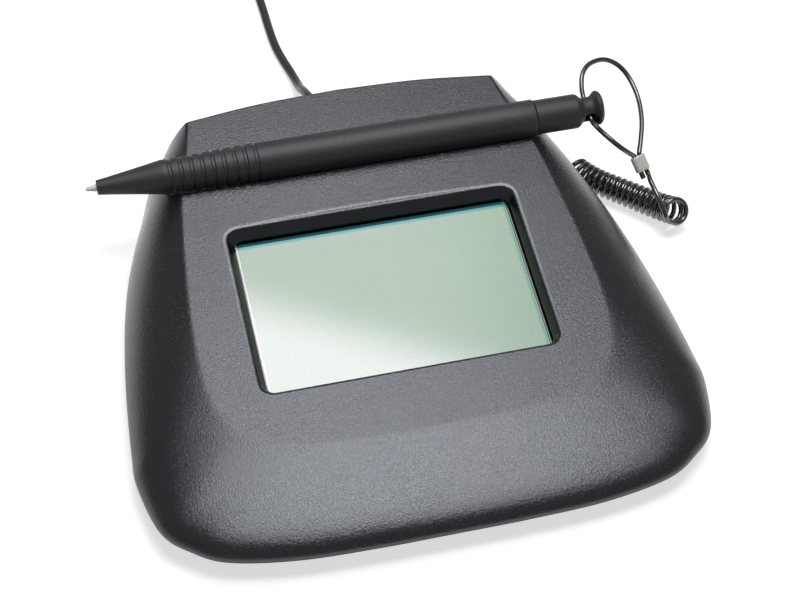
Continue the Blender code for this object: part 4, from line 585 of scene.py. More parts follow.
def shellHollow():
    loop = outline(pad["wall"], pad["wall"], shell["columns"])
    base = atHeight(loop[:, :2], pad["skirtTop"])
    edge = deckPoints(loop[:, 2:4], -pad["wall"])
    rings = [atHeight(loop[:, :2], pad["splitHeight"] - pad["overrun"]), base]
    rings += [flare(base, edge, loop[:, 4:], share) for share in np.linspace(0.0, 1.0, 13)[1:]]
    return gridPiece("hollow", np.stack(rings))


def alongDeck(name, section):  # a section of the deck's (y, up) carried along its X, past the pad at both ends
    turn = Matrix(((0.0, 0.0, 1.0, 0.0), (1.0, 0.0, 0.0, 0.0), (0.0, 1.0, 0.0, 0.0), (0.0, 0.0, 0.0, 1.0)))
    return stood(name, section, -2.0 * pad["width"], 2.0 * pad["width"], deckFrame @ turn)


def circle(radius, centre=(0.0, 0.0), sides=96):
    angle = np.linspace(0.0, math.tau, sides, endpoint=False)
    return np.column_stack([centre[0] + radius * np.cos(angle), centre[1] + radius * np.sin(angle)])


def grooveSection():  # the pen's round bed, whose lips curve over into the deck
    radius, rise, over = shell["grooveRadius"], pen["rise"], shell["grooveRound"]
    lip = math.sqrt(radius ** 2 - rise ** 2)
    angle = np.linspace(-1.0, 1.0, 49) * (math.atan2(lip, rise) - over / radius)
    bed = np.column_stack([radius * np.sin(angle), rise - radius * np.cos(angle)])
    right = bend(bed[-1], np.array((lip, 0.0)), np.array((lip + over, 0.0)), np.linspace(0.0, 1.0, 7)[1:, None])
    top = np.array(((lip + over, 30.0), (-lip - over, 30.0)))
    section = np.vstack([bed, right, top, (right * (-1.0, 1.0))[::-1]])
    return section + (pen["lineY"], 0.0)


def windowCutter():  # the rim rolls out further on the sides seen from the front than at the front itself
    roll, depth = shell["roll"], shell["windowDepth"]
    inner, outer = (np.array(reach) for reach in shell["rollReach"])  # left, right, back, front
    levels = [(-depth - pad["overrun"], inner), (-roll, inner)]
    lip = shell["lip"]
    levels += [(-lip * (1.0 - math.cos(angle)), outer - lip * math.sin(angle))
               for angle in np.linspace(math.radians(shell["lipTurn"]), 0.0, shell["rollRings"])]
    levels.append((pad["overrun"], outer + pad["overrun"]))
    rings = []
    for up, (left, right, back, front) in levels:
        ring = roundedRectangle(shell["window"][0] + left + right, shell["window"][1] + back + front,
                                shell["windowRadius"] + 0.5 * left)
        ring = ring + ((right - left) / 2.0, (back - front) / 2.0)
        bow = np.clip(1.0 - (ring[:, 0] / (0.5 * shell["window"][0])) ** 2, 0.0, 1.0) * (ring[:, 1] > 0.0)
        ring[:, 1] += shell["rollBow"] * bow * (back - inner[2]) / (outer[2] - inner[2])
        rings.append(deckPoints(ring, up))
    return gridPiece("window opening", np.stack(rings))


def wallHole(name, matrix, radius):
    return turned(name, ((radius, -2.0 * pad["wall"]), (radius, 2.0 * pad["wall"])), matrix, 48)


def housing():
    cover, hollow, gap = shellSolid(), shellHollow(), pad["gap"]
    trough = circle(shell["grooveRadius"] + shell["grooveWall"], (pen["lineY"], pen["rise"]))
    width, height = np.array(shell["window"]) + 2.0 * shell["rim"]
    rim = stood("window rim", roundedRectangle(width, height, 0.6), -shell["windowDepth"], shell["windowDepth"],
                deckFrame)
    carve(hollow, alongDeck("groove trough", trough), rim,
          *posts("boss", screwPlaces, shell["bossRadius"], shell["bossBottom"], 2.0 * pad["deckHeight"]))
    pilots = posts("pilot", screwPlaces, shell["screwRadius"] + gap, shell["bossBottom"] - pad["overrun"],
                   shell["screwSeat"] + shell["screwLength"] + gap, 24)
    return carve(cover, hollow, *pilots, windowCutter(), alongDeck("pen groove", grooveSection()),
                 wallHole("lead hole", leadFrame, relief["neckRadius"] + gap),
                 wallHole("tether hole", tetherFrame, grommet["neckRadius"] + gap))


screwPlaces = onPad(shell["screws"])
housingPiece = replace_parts(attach(evenShading(housing()), "pad"), "top_cover")
print("housing made:", len(housingPiece.data.polygons), "faces")


# Bottom case: a shallow tray with a lip, screw wells, board stand-offs and seats for the feet
tray = dict(floor=2.0, taper=3.2, edge=0.8, lip=1.0, underside=1.8, wellRadius=4.4, headRadius=2.6, standRadius=2.6,
            standHoleRadius=1.3, boardHeight=7.2, boardScrewLength=4.2, footRadius=5.0, footHeight=2.6,
            soleHollow=0.12, soleRound=0.55, footRound=0.15,
            feet=((-0.72, -0.66), (0.72, -0.66), (-0.46, 0.74), (0.46, 0.74)),
            stands=((-38.0, 36.3), (-38.0, 57.3), (38.0, 36.3), (38.0, 57.3)))


def underCase():
    floor, split, gap, lip = tray["underside"], pad["splitHeight"], pad["gap"], pad["wall"] + pad["gap"]
    below, edge, taper, top = floor - pad["overrun"], tray["edge"], tray["taper"], split - gap
    bow = np.linspace(0.0, 1.0, 7)
    profile = [(taper + edge * (1.0 - t) ** 2, floor + 0.5 * edge * t ** 2) for t in bow]
    profile += [(2.0 * gap, split - 3.0 * gap), (gap, top - 0.12), (gap + 0.1, top), (lip, top),
                (lip, pad["skirtTop"]), (lip + tray["lip"], pad["skirtTop"]),
                (lip + tray["lip"], floor + tray["floor"])]
    rings = [atHeight(outline(inset, 0.0, shell["columns"])[:, :2], height) for inset, height in profile]
    case = gridPiece("lower_case", np.stack(rings))
    sunk = floor + tray["floor"] / 2.0
    carve(case, *posts("well", screwPlaces, tray["wellRadius"], sunk, shell["bossBottom"] - gap),
          *posts("stand", tray["stands"], tray["standRadius"], sunk, tray["boardHeight"] - gap, 24),
          operation="UNION")
    rooms = posts("head room", screwPlaces, tray["headRadius"] + gap, below, shell["screwSeat"])
    passages = posts("passage", screwPlaces, shell["screwRadius"] + gap, below, shell["bossBottom"] + pad["overrun"],
                     24)
    cuts = [cut for pair in zip(rooms, passages) for cut in pair]
    cuts += posts("stand hole", tray["stands"], tray["standHoleRadius"],
                  tray["boardHeight"] - gap - tray["boardScrewLength"], tray["boardHeight"] + pad["overrun"], 20)
    cuts += posts("foot seat", footPlaces, tray["footRadius"] + gap, below, tray["footHeight"] + gap, 64)
    return carve(case, *cuts, wallHole("lead notch", leadFrame, relief["neckRadius"] + gap))


footPlaces = onPad(tray["feet"])


def rubberFoot(name, x, y):  # a disc with a rounded rim and a faint hollow in its sole
    radius, height, edge = tray["footRadius"], tray["footHeight"], tray["footRound"]
    hollow, curve = tray["soleHollow"], tray["soleRound"]
    sole = [(radius * share, hollow * (1.0 - ease(min(1.0, share / 0.8)))) for share in np.linspace(0.02, 0.86, 12)]
    rim = [(radius - curve * (1.0 - s) ** 2, curve * s ** 2) for s in np.linspace(0.0, 1.0, 8)]
    profile = [(axisRadius, hollow), *sole, *rim, (radius, height - edge), (radius - edge, height),
               (axisRadius, height)]
    return turned(name, profile, turnMatrix((x, y, 0.0)), 72)


def placed(piece, body, name, *replaced):  # rides on its body and hides what it stands for; name, the finish slot, is not used
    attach(piece, body)
    if replaced:
        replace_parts(piece, *replaced)
    return piece


casePiece = placed(evenShading(underCase()), "pad", "lower_case", "bottom_case")
footNames = ("foot_front_left", "foot_front_right", "foot_back_left", "foot_back_right")
feet = [placed(rubberFoot("rubber_" + name, x, y), "pad", "foot_rubber", name)
        for name, (x, y) in zip(footNames, footPlaces)]
print("bottom case made:", len(casePiece.data.polygons), "faces")


def penBarrel():
    # radius along z: the nose widens as s^1.08; behind it lie the grooves, each a flat floor with smooth walls
    nose = np.linspace(0.0, 1.0, 40)
    noseZ = pen["noseLength"] * nose
    noseR = pen["noseRadius"] + (pen["gripRadius"] - pen["noseRadius"]) * nose ** pen["noseSwell"]
    start = pen["noseLength"] + pen["gripStart"]
    middles = start + np.arange(pen["grooves"]) * pen["pitch"]
    gripZ = np.arange(noseZ[-1] + 0.3, middles[-1] + 1.6, 0.09)
    wide = pen["grooveWidth"]
    wall = np.clip((wide * 0.54 - abs(gripZ[:, None] - middles)) / (wide * 0.24), 0.0, 1.0)
    swell = np.clip((gripZ - start) / (middles[-1] - start), 0.0, 1.0)
    gripR = (pen["gripRadius"] + (pen["radius"] - pen["gripRadius"]) * swell
             - pen["grooveDepth"] * ease(wall).max(axis=1))
    shank = np.linspace(gripZ[-1] + 0.8, penJoint - 0.35, 12)
    end = [(pen["radius"] - 0.03, penJoint - 0.22), (pen["radius"] - 0.14, penJoint - 0.08),
           (pen["radius"] - 0.32, penJoint)]
    rim = [(pen["noseRadius"] - 0.32, -0.12), (pen["noseRadius"] - 0.08, -0.05)]
    outer = np.vstack([rim, np.column_stack([noseR, noseZ]), np.column_stack([gripR, gripZ]),
                       np.column_stack([np.full(12, pen["radius"]), shank]), end])
    bore, seat = pen["radius"] - pen["wall"], nib["radius"] + pad["gap"]
    inner = [(bore, penJoint), (bore, penJoint - cap["spigot"] - pad["overrun"]),
             (bore - pen["wall"], 2.0 * pen["noseLength"]), (pen["noseRadius"], pen["noseLength"]),
             (seat, nib["inside"] + pad["gap"]), (seat, -0.12)]
    return turned("pen_body", np.vstack([outer, inner]), penFrame, 96, 35.0, joined=True)


def penNib():
    t = np.linspace(0.0, math.pi / 2.0, 9)
    tip = [(nib["tipRadius"] * math.sin(a), -nib["out"] + nib["tipRadius"] * (1.0 - math.cos(a))) for a in t[1:]]
    profile = [(axisRadius, -nib["out"]), *tip, (nib["radius"] * 0.86, -nib["out"] * 0.36),
               (nib["radius"], -nib["out"] * 0.24), (nib["radius"], nib["inside"]), (axisRadius, nib["inside"])]
    return turned("pen_point", profile, penFrame, 48)


def penCap():
    start, shoulder = penJoint + pad["gap"], penJoint + cap["barrel"]
    neck = shoulder + cap["chamfer"]
    disc = neck + cap["neck"]
    spigot = pen["radius"] - pen["wall"] - pad["gap"]
    waist = (cap["discRadius"] - cap["neckRadius"]) * cap["waist"]
    top = disc + cap["disc"]
    corners = [(axisRadius, top), (cap["discRadius"] * 0.84, top), (cap["discRadius"], top - 0.45 * cap["disc"]),
               (cap["discRadius"], disc + 0.25 * cap["disc"]), (cap["discRadius"] - waist, disc),
               (cap["neckRadius"] + waist, disc - cap["waist"] * cap["neck"]),
               (cap["neckRadius"], disc - 0.45 * cap["neck"]), (cap["neckRadius"], neck),
               (cap["radius"], shoulder), (cap["radius"], start)]
    shape = softened(corners, (0.0, 1.1, 0.9, 0.5, 0.5, 0.9, 0.9, 0.7, 0.8, 0.3), 7)
    inner = [(spigot, start), (spigot, penJoint - cap["spigot"] + 0.3), (spigot - 0.3, penJoint - cap["spigot"]),
             (axisRadius, penJoint - cap["spigot"])]
    body = turned("pen_tail_cap", np.vstack([shape, inner]), penFrame, 112, 50.0)
    # the eye is a round hole whose mouths open out
    reach, radius, mouth = 4.0 * cap["radius"], cap["eyeRadius"], cap["eyeMouth"]
    flareOut = [(radius + mouth * s ** 2, cap["neckRadius"] - mouth + mouth * s) for s in np.linspace(0.0, 1.0, 7)]
    side = [(radius + mouth, reach), *reversed(flareOut)]
    hole = turned("tether eye", [*side, *[(r, -z) for r, z in reversed(side)]], eyeFrame, 48)
    return carve(body, hole)


penBody = placed(penBarrel(), "pen", "pen_soft_touch", "pen_barrel")
penPoint = placed(penNib(), "pen", "nib_white", "pen_nib")
penTail = placed(evenShading(penCap()), "pen", "pen_cap", "pen_end_cap")
print("pen made:", len(penBody.data.polygons), "faces in its barrel")


def strainRelief():  # a flange inside the wall, a neck through it, a collar and a ribbed taper outside
    gap, inside = pad["gap"], -pad["wall"] - 2.0 * pad["gap"]
    neck, collar, tail, flange = (relief[part + "Radius"] for part in ("neck", "collar", "tail", "flange"))
    start = gap + relief["collar"]
    top = start + relief["length"]
    z = np.linspace(start + 0.15, top, 160)
    share = (z - start) / relief["length"]
    rib = 0.5 - 0.5 * np.cos(math.tau * share * (relief["ribs"] + 0.5))
    cut = relief["ribDepth"] * ease(np.clip(rib * 1.7 - 0.5, 0.0, 1.0)) * (share < 0.93)
    taper = np.column_stack([neck + gap + (tail - neck) * share - cut, z])
    low, high = relief["collarRound"]
    profile = [(axisRadius, inside - relief["flange"]), (flange, inside - relief["flange"]), (flange, inside),
               (neck, inside), (neck, gap), (collar - low, gap), (collar, gap + low), (collar, start - high),
               (collar - high, start), *taper, (tail - 0.25, top + 0.2), (lead["radius"], top + 0.25),
               (axisRadius, top + 0.25)]
    return turned("lead_strain_relief", profile, leadFrame, 64)


def cordGrommet():  # flanged on both sides of the wall, the outer flange a dome down to the cord
    gap, inside = pad["gap"], -pad["wall"] - 2.0 * pad["gap"]
    neck, wide, narrow = grommet["neckRadius"], grommet["flangeRadius"], tether["radius"] + 0.18
    angle = np.linspace(0.0, math.pi / 2.0, 9)
    dome = np.column_stack([narrow + (wide - narrow) * np.cos(angle),
                            gap + 0.5 + (grommet["tail"] - 0.8) * np.sin(angle)])
    profile = [(axisRadius, inside - grommet["flange"]), (wide, inside - grommet["flange"]), (wide, inside),
               (neck, inside), (neck, gap), (wide - 0.15, gap), *dome, (axisRadius, grommet["tail"] - 0.3)]
    return turned("cord_grommet", profile, tetherFrame, 48)


reliefPiece = placed(strainRelief(), "pad", "relief_rubber", "usb_strain_relief")
grommetPiece = placed(cordGrommet(), "pad", "relief_rubber", "tether_grommet")


def crimpSleeve():  # a plain oval tube pressed flat round the two cords, its mouths rounded by a quarter circle
    base = roundedRectangle(crimp["width"], crimp["thickness"], crimp["thickness"] / 2.02, 14)
    angle = np.linspace(0.0, math.pi / 2.0, 9)
    mouth, half = crimp["mouthRound"], crimpLength / 2.0
    inset, along = mouth * (1.0 - np.cos(angle)), mouth * np.sin(angle)
    z = np.concatenate([-half + (mouth - along)[::-1], half - (mouth - along)])
    drawn = np.concatenate([inset[::-1], inset])
    share = 1.0 - drawn[:, None] / (0.5 * np.array([crimp["width"], crimp["thickness"]]))
    rings = np.stack([base[None, :, 0] * share[:, :1], base[None, :, 1] * share[:, 1:],
                      np.broadcast_to(z[:, None], (len(z), len(base)))], axis=-1)
    piece = gridPiece("crimp_sleeve", rings, 45.0)
    piece.data.transform(crimpFrame())
    return piece


def cordTail():
    aside, low = -crimp["spacing"] / 2.0, -crimpLength / 2.0
    line = [inFrame(crimpFrame(), aside, 0.0, z) for z in np.linspace(low + 0.6, low - pad["gap"] - crimp["tail"], 9)]
    return cordTube("cord_tail", line, tether["radius"])


sleevePiece = placed(crimpSleeve(), "pen", "crimp_metal", "tether_ferrule")
tailPiece = placed(cordTail(), "pen", "tether_jacket", "tether_tail")


def tieBand():  # a strap of even thickness round the bundle
    width = coilOuter - coilInner + 2.0 * (lead["radius"] + pad["gap"])
    height = coil["step"] * (coil["layers"] - 1) + 2.0 * (lead["radius"] + pad["gap"])
    over = 2.0 * tie["thickness"]
    outer = roundedRectangle(width + over, height + over, over + tie["thickness"], 8)
    inner = roundedRectangle(width, height, over, 8)
    edge, rounding = tie["width"] / 2.0, tie["rounding"]
    rows = [np.column_stack([ring, np.full(len(ring), z)]) for ring, z in
            ((inner, -edge + rounding), (inner, edge - rounding), (inner * 0.5 + outer * 0.5, edge),
             (outer, edge - rounding), (outer, -edge + rounding), (inner * 0.5 + outer * 0.5, -edge))]
    piece = gridPiece("cable_band", np.stack(rows), 50.0, joined=True)
    angle = math.radians(tie["angle"])
    middle = (coil["centre"][0] + coil["meanRadius"] * math.cos(angle),
              coil["centre"][1] + coil["meanRadius"] * math.sin(angle),
              coil["base"] + coil["step"] * (coil["layers"] - 1) / 2.0)
    piece.data.transform(turnMatrix(middle, "Z", tie["angle"]) @ Matrix.Rotation(math.pi / 2.0, 4, "X"))
    return piece


bandPiece = placed(tieBand(), "pad", "tie_band", "cable_tie")
leadPiece = placed(cordTube("data_lead", leadPath, lead["radius"], 14), "pad", "lead_jacket",
                   "usb_cable", "usb_cable_coil")
# the curls ride on the pad, so they stay on the table when the pen is lifted; the end between the last curl and the
# crimp is a piece of its own
curlPath, drawnPath = tetherPath[:-tether["drawn"]], tetherPath[-tether["drawn"] - 1:]
tetherPiece = placed(cordTube("pen_cord", curlPath, tether["radius"], 14), "pad", "tether_jacket", "tether_coil")
drawnPiece = cordTube("pen_cord_end", drawnPath, tether["radius"], 14)
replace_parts(drawnPiece, "tether_lead")
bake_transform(drawnPiece)
loopPiece = placed(cordTube("pen_cord_loop", loopPath, tether["radius"], 20), "pen", "tether_jacket", "tether_loop")
print("cords laid")

# Finishes: shared effects are node groups, and every piece gets a material of its own values
dustColour = (0.42, 0.41, 0.39)


def newGroup(name, inputs, outputs):
    tree = bpy.data.node_groups.new(name, "ShaderNodeTree")
    for label, value in inputs.items():
        tree.interface.new_socket(label, in_out="INPUT", socket_type="NodeSocketFloat").default_value = value
    for label in outputs:
        tree.interface.new_socket(label, in_out="OUTPUT", socket_type="NodeSocketFloat")
    place = node(tree, "TexCoord").outputs["Object"]
    return tree, tree.nodes.new("NodeGroupInput").outputs, tree.nodes.new("NodeGroupOutput").inputs, place


def grainGroup():
    # moulded grain: the ground between rounded pebbles plus a fine roughness; glint marks the pebbles' tops, where a
    # painted glint goes
    tree, given, out, place = newGroup("moulded grain", dict(Cells=1500.0, Fine=0.35), ("Height", "Glint", "Mottle"))
    drift = noise(place, maths("MULTIPLY", given["Cells"], 0.6), 1.0, "Color")
    moved = vectors("MULTIPLY_ADD", drift, (0.0003, 0.0003, 0.0003), place)
    cells = node(tree, "TexVoronoi", {"Vector": moved, "Scale": given["Cells"], "Smoothness": 0.45},
                 feature="SMOOTH_F1").outputs["Distance"]
    fine = noise(place, maths("MULTIPLY", given["Cells"], 2.4), 2.0)
    rest = maths("SUBTRACT", 1.0, given["Fine"])
    height = maths("MULTIPLY_ADD", ranged(cells, 0.75, 0.10), rest, maths("MULTIPLY", fine, given["Fine"]))
    feed(out["Height"], height)
    feed(out["Glint"], ranged(height, 0.62, 0.86))
    feed(out["Mottle"], ranged(noise(place, 90.0, 3.0), 0.3, 0.7))
    return tree


def wearGroup():
    # edge wear: the curvature picks out rims, broken up by noise
    tree, given, out, place = newGroup("edge wear", dict(Amount=0.5, Breakup=700.0), ("Wear",))
    edge = ranged(node(tree, "NewGeometry").outputs["Pointiness"], 0.515, 0.60)
    worn = maths("MULTIPLY", edge, ranged(noise(place, given["Breakup"], 4.0), 0.35, 0.65))
    feed(out["Wear"], maths("MULTIPLY", worn, given["Amount"]))
    return tree


def dustGroup():
    # fine dust on what faces up, in soft patches with a few specks
    tree, given, out, place = newGroup("settled dust", dict(Amount=0.1, Specks=2600.0), ("Dust",))
    up = node(tree, "SeparateXYZ", {0: node(tree, "NewGeometry").outputs["Normal"]}).outputs["Z"]
    cover = maths("MULTIPLY", ranged(noise(place, 45.0, 4.0), 0.35, 0.75),
                  ranged(noise(place, given["Specks"], 1.0), 0.55, 0.72))
    feed(out["Dust"], maths("MULTIPLY", maths("MULTIPLY", cover, ranged(up, 0.35, 0.95)), given["Amount"]))
    return tree


def brushingGroup():
    # brushing along one axis with stray fine scratches
    tree, given, out, place = newGroup("brushing", dict(Along=120.0, Across=3600.0), ("Height", "Streak"))
    stretch = node(tree, "CombineXYZ", {"X": given["Across"], "Y": given["Across"], "Z": given["Along"]}).outputs[0]
    lines = noise(vectors("MULTIPLY", place, stretch), 1.0, 3.0)
    feed(out["Height"], lines)
    feed(out["Streak"], ranged(lines, 0.3, 0.7))
    return tree


grain, wear, dust, brushing = grainGroup(), wearGroup(), dustGroup(), brushingGroup()


def placeGroup(tree, group, **values):
    made = tree.nodes.new("ShaderNodeGroup")
    made.node_tree = group
    for label, value in values.items():
        feed(made.inputs[label], value)
    return made.outputs


def finish(sockets, colour, rough, height, depth):  # what every material varies: its colour, sheen and relief
    feed(sockets["Base Color"], colour)
    feed(sockets["Roughness"], rough)
    bump = node(height.id_data, "Bump", {"Height": height, "Distance": depth * mm})
    feed(sockets["Normal"], bump.outputs["Normal"])


def plastic(name, colour, rough=(0.42, 0.58), cells=1500.0, depth=0.05, glint=0.02, fine=0.35, worn=0.3, dusty=0.10,
            **constants):
    # moulded plastic or rubber: grain in its height and its sheen, a random mottle and a painted glint on the grain's
    # tops in its colour, lighter rims, a breath of dust
    made, tree, sockets = shaderOf(name, **constants)
    g = placeGroup(tree, grain, Cells=cells, Fine=fine)
    w = placeGroup(tree, wear, Amount=worn)["Wear"]
    d = placeGroup(tree, dust, Amount=dusty)["Dust"]
    shade = blended(maths("MULTIPLY", g["Mottle"], 0.35), colour, tuple(0.75 * c for c in colour))
    # painted glint: the grain's tops lightened to stand in for sparkles of light
    shade = blended(g["Glint"], shade, tuple(c + glint for c in colour))
    shade = blended(w, shade, tuple(2.2 * c + 0.02 for c in colour))
    level = maths("MULTIPLY_ADD", g["Height"], rough[0] - rough[1], rough[1])
    level = maths("MULTIPLY_ADD", d, 0.4, maths("MULTIPLY_ADD", w, -0.15, level))
    finish(sockets, blended(d, shade, dustColour), level, g["Height"], depth)
    return made


def deckPlace(tree):  # object coordinates, and the same measured in the deck's own plane
    place = node(tree, "TexCoord").outputs["Object"]
    flat = node(tree, "Mapping", {"Vector": place, "Location": (0.0, pad["deckCentreY"] * mm, pad["deckHeight"] * mm),
                                  "Rotation": (math.radians(pad["deckTilt"]), 0.0, 0.0)}, vector_type="TEXTURE")
    return place, flat.outputs[0], node(tree, "SeparateXYZ", {0: flat.outputs[0]}).outputs


# The window's rim, in mm from the rounded box that its crest follows: a painted highlight along the crest, fading out
# between the two fade lines toward the front, where the crest tilts away from the light, and painted shade, near
# black, from there down to the glass; worn is the painted highlight's colour
rimPaintedLight = dict(jitter=0.9, jitterScale=2200.0, shift=0.45, crest=((-0.85, -0.25), (0.55, -0.05)), inside=(-0.55, -0.95),
               fade=(-24.0, 26.0), share=0.6, worn=(0.34, 0.34, 0.35), recessShade=(0.003, 0.003, 0.003))


def rimLightAndShade(made):
    tree = made.node_tree
    colour = tree.nodes["Principled BSDF"].inputs["Base Color"]
    place, flat, split = deckPlace(tree)
    moved = vectors("MULTIPLY_ADD", noise(place, rimPaintedLight["jitterScale"], 2.0, "Color"),
                    (rimPaintedLight["jitter"] * mm, rimPaintedLight["jitter"] * mm, 0.0), flat)
    left, right, back, front = shell["rollReach"][1]
    half = ((shell["window"][0] + left + right) / 2.0, (shell["window"][1] + back + front) / 2.0)
    radius = shell["windowRadius"] + 0.5 * left
    share = maths("MULTIPLY", split["X"], 2.0 / (shell["window"][0] * mm))
    bow = maths("MAXIMUM", maths("MULTIPLY_ADD", maths("MULTIPLY", share, share), -1.0, 1.0), 0.0)
    bow = maths("MULTIPLY", bow, maths("GREATER_THAN", split["Y"], 0.0))
    ahead = ((back - front) / 2.0 + rimPaintedLight["shift"]) * mm
    shift = node(tree, "CombineXYZ", {"X": ((right - left) / 2.0 + rimPaintedLight["shift"]) * mm,
                                      "Y": maths("MULTIPLY_ADD", bow, shell["rollBow"] * mm, ahead)}).outputs[0]
    away = vectors("ABSOLUTE", vectors("SUBTRACT", moved, shift))
    away = vectors("SUBTRACT", away, ((half[0] - radius) * mm, (half[1] - radius) * mm, 1.0))
    reach = vectors("LENGTH", vectors("MAXIMUM", away, (0.0, 0.0, 0.0)), result="Value")
    inner, outer, inside = (ranged(reach, (radius + low) * mm, (radius + high) * mm)
                            for low, high in (*rimPaintedLight["crest"], rimPaintedLight["inside"]))
    crest = maths("MULTIPLY", maths("MULTIPLY", inner, outer), ranged(split["Y"], *(y * mm for y in rimPaintedLight["fade"])))
    # painted highlight on the crest (its colour is the key worn), then painted shade on the recess wall down to the
    # glass
    shade = blended(maths("MULTIPLY", crest, rimPaintedLight["share"]), colour.links[0].from_socket, rimPaintedLight["worn"])
    feed(colour, blended(inside, shade, rimPaintedLight["recessShade"]))
    return made


def metal(name, colour, rough=(0.22, 0.38), across=3600.0, along=120.0, depth=0.01, metallic=1.0, dusty=0.05):
    made, tree, sockets = shaderOf(name, Metallic=metallic)
    b = placeGroup(tree, brushing, Along=along, Across=across)
    shade = blended(b["Streak"], colour, tuple(0.86 * c for c in colour))
    shade = blended(placeGroup(tree, wear, Amount=0.4)["Wear"], shade, tuple(min(1.0, 1.15 * c) for c in colour))
    shade = blended(placeGroup(tree, dust, Amount=dusty)["Dust"], shade, dustColour)
    finish(sockets, shade, maths("MULTIPLY_ADD", b["Streak"], rough[1] - rough[0], rough[0]), b["Height"], depth)
    return made


board = dict(tracks=260.0, vias=420.0, ground=(0.010, 0.085, 0.035), track=(0.022, 0.14, 0.06),
             via=(0.45, 0.36, 0.16), rough=(0.42, 0.32))


def boardMaterial():  # green solder mask over a maze of tracks, with round vias
    made, tree, sockets = shaderOf("green circuit board", Coat_Weight=0.3, Coat_Roughness=0.15)
    place = node(tree, "TexCoord").outputs["Object"]
    tracks = node(tree, "TexBrick", {"Vector": place, "Scale": board["tracks"], "Mortar Size": 0.08,
                                     "Color1": (1.0, 1.0, 1.0), "Color2": (0.6, 0.6, 0.6),
                                     "Mortar": (0.0, 0.0, 0.0)}).outputs["Fac"]
    vias = node(tree, "TexVoronoi", {"Vector": place, "Scale": board["vias"]}).outputs["Distance"]
    shade = blended(tracks, board["ground"], board["track"])
    shade = blended(ranged(vias, 0.16, 0.10), shade, board["via"])
    shade = blended(placeGroup(tree, dust, Amount=0.15)["Dust"], shade, dustColour)
    finish(sockets, shade, ranged(tracks, 0.0, 1.0, *board["rough"]), tracks, 0.02)
    return made


flex = dict(lanes=180.0, film=(0.42, 0.17, 0.03), copper=(0.62, 0.28, 0.07), rough=(0.38, 0.28))


def flexMaterial():  # amber film with copper tracks that run along it
    made, tree, sockets = shaderOf("amber flex film", Coat_Weight=0.4, Coat_Roughness=0.12)
    lanes = node(tree, "TexWave", {"Vector": node(tree, "TexCoord").outputs["Object"], "Scale": flex["lanes"],
                                   "Distortion": 0.2}, bands_direction="X").outputs["Fac"]
    lane = ranged(lanes, 0.35, 0.6)
    shade = blended(lane, flex["film"], flex["copper"])
    finish(sockets, shade, ranged(lane, 0.0, 1.0, *flex["rough"]), lane, 0.02)
    return made


# The display under its glass: grey green, with teal, light and black lines where the glass ends: the teal bands at
# the back and right are the display's own edge with painted shadow from the wall over it, the black lines are painted
# shadow in the gaps, and the near-white lines at the front and left are a painted highlight on the glass's edge. Each
# line runs from one distance to another along the deck, in mm, and covers what lies beyond it
display = dict(colours=((0.39, 0.56, 0.40), (0.37, 0.54, 0.405)), speck=(0.17, 0.26, 0.17), rough=(0.045, 0.06),
               edges=(("Y", ((22.9, 23.8, (0.13, 0.34, 0.27)), (23.8, 23.95, (0.08, 0.46, 0.44)),
                             (24.1, 24.3, (0.010, 0.14, 0.18)), (25.0, 25.06, (0.10, 0.09, 0.09)),
                             (25.14, 25.2, (0.004, 0.004, 0.004)), (-24.5, -24.65, (0.80, 0.84, 0.84)),
                             (-24.95, -25.05, (0.004, 0.004, 0.004)))),
                      ("X", ((37.1, 38.1, (0.15, 0.38, 0.29)), (38.1, 38.15, (0.28, 0.56, 0.45)),
                             (38.28, 38.36, (0.008, 0.09, 0.05)), (38.6, 38.66, (0.30, 0.27, 0.24)),
                             (38.76, 38.84, (0.004, 0.004, 0.004)), (-38.75, -38.85, (0.80, 0.84, 0.84)),
                             (-39.2, -39.3, (0.004, 0.004, 0.004))))))


def displayMaterial():
    made, tree, sockets = shaderOf("grey green display", IOR=1.5, Specular_Tint=(1.0, 0.84, 1.0),
                                   Specular_IOR_Level=0.75)
    place, flat, split = deckPlace(tree)
    cloud, fine = noise(place, 30.0, 3.0), noise(place, 1600.0, 1.0)
    shade = blended(ranged(cloud, 0.3, 0.7), *display["colours"])
    shade = blended(ranged(fine, 0.3, 0.7, 0.0, 0.10), shade, display["speck"])
    # painted shadow and painted highlight where the glass ends
    for axis, lines in display["edges"]:
        for low, high, colour in lines:
            shade = blended(ranged(split[axis], low * mm, high * mm), shade, colour)
    finish(sockets, shade, ranged(fine, 0.3, 0.7, *display["rough"]), cloud, 0.01)
    return made


def dress(material, *pieces):  # a name stands for a piece carried over from the construction
    for piece in pieces:
        target = nodes[piece] if isinstance(piece, str) else piece
        if not target.material_slots:
            target.data.materials.append(material)
        for holder in target.material_slots:
            holder.material = material


# colour, roughness from the grain's tops to its ground, grain cells in a metre, depth in mm, how much the painted
# glint lightens the tops
coolSheen = (0.90, 0.93, 1.0)
dress(rimLightAndShade(plastic("black grained housing", (0.011, 0.011, 0.014), (0.13, 0.21), 1500.0, 0.090, 0.070, fine=0.80,
                     worn=0.25, Specular_Tint=coolSheen, Specular_IOR_Level=0.72)), housingPiece)
dress(plastic("black lower case", (0.012, 0.012, 0.014), (0.40, 0.55), 2400.0, 0.025, 0.008, Specular_Tint=coolSheen),
      casePiece)
dress(plastic("black rubber", (0.014, 0.014, 0.014), (0.62, 0.80), 3000.0, 0.02, 0.006), *feet, reliefPiece,
      grommetPiece)
dress(plastic("soft touch black", (0.014, 0.014, 0.017), (0.50, 0.60), 5200.0, 0.008, 0.004, fine=0.6, worn=0.15,
              dusty=0.14, Sheen_Weight=0.12, Sheen_Roughness=0.4, Specular_IOR_Level=0.65), penBody)
dress(plastic("brownish black cap", (0.019, 0.015, 0.017), (0.48, 0.60), 4200.0, 0.012, 0.006, Sheen_Weight=0.05,
              Specular_IOR_Level=0.55), penTail)
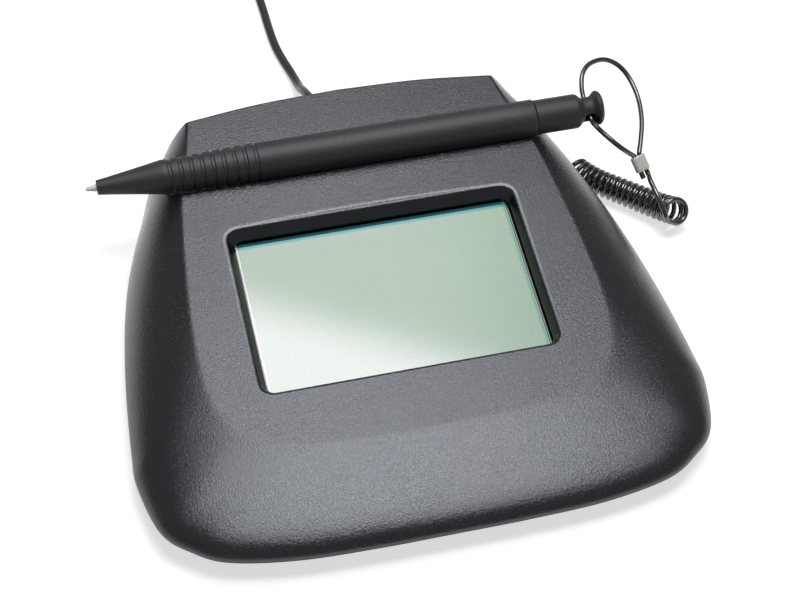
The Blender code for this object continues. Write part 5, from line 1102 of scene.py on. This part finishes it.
dress(plastic("white nib plastic", (0.82, 0.82, 0.80), (0.32, 0.45), 4200.0, 0.006, 0.03, worn=0.0, dusty=0.05),
      penPoint)
dress(plastic("glossy cord jacket", (0.006, 0.006, 0.007), (0.14, 0.24), 900.0, 0.006, 0.002, fine=0.8, worn=0.0,
              dusty=0.04, Specular_IOR_Level=1.0, Coat_Weight=0.8, Coat_Roughness=0.10),
      tetherPiece, drawnPiece, loopPiece, tailPiece)
dress(plastic("satin lead jacket", (0.030, 0.028, 0.026), (0.34, 0.46), 1600.0, 0.006, 0.004, fine=0.7, worn=0.0),
      leadPiece, "usb_inner_lead")
dress(plastic("black tie band", (0.02, 0.02, 0.021), (0.55, 0.7), 2600.0, 0.03, 0.01), bandPiece)
dress(plastic("black plug moulding", (0.016, 0.016, 0.017), (0.45, 0.6), 2200.0, 0.03, 0.008), "usb_plug_body")
dress(plastic("white plug tongue", (0.66, 0.66, 0.65), (0.4, 0.5), 3000.0, 0.004, 0.02, worn=0.0), "usb_plug_tongue")
dress(plastic("black chip moulding", (0.02, 0.02, 0.022), (0.45, 0.6), 9000.0, 0.006, 0.006),
      "controller_chip", "touch_chip")
dress(plastic("ivory connector moulding", (0.55, 0.50, 0.40), (0.4, 0.5), 6000.0, 0.004, 0.03, worn=0.0),
      "lcd_connector", "touch_connector", "usb_header")
dress(plastic("blue capacitor sleeve", (0.03, 0.04, 0.16), (0.25, 0.35), 2000.0, 0.003, 0.01, worn=0.1),
      "capacitor_left", "capacitor_right")
dress(plastic("grey foam gasket", (0.05, 0.05, 0.055), (0.85, 0.95), 3800.0, 0.08, 0.03, fine=0.5), "glass_gasket")
dress(plastic("white light guide", (0.74, 0.76, 0.74), (0.30, 0.42), 2600.0, 0.004, 0.02, worn=0.0,
              Transmission_Weight=0.2), "backlight_plate")
dress(metal("satin crimp metal", (0.80, 0.79, 0.74), (0.30, 0.45), 5200.0, 240.0, 0.012, metallic=0.35), sleevePiece)
dress(metal("bright steel", (0.60, 0.60, 0.61), (0.20, 0.34), 4200.0, 300.0, 0.006),
      "usb_plug_shell", "crystal_can", "tether_stop")
dress(metal("zinc screw steel", (0.52, 0.53, 0.55), (0.28, 0.42), 6000.0, 900.0, 0.01),
      *[f"{place}_screw_{k}" for place in ("case", "board") for k in (1, 2, 3, 4)])
dress(metal("pressed frame metal", (0.56, 0.57, 0.59), (0.30, 0.45), 2600.0, 200.0, 0.008), "lcd_frame")
dress(boardMaterial(), "lcd_board", "main_board")
dress(flexMaterial(), "lcd_flex", "touch_flex")
dress(displayMaterial(), "touch_panel", "lcd_panel")
print("finishes placed")
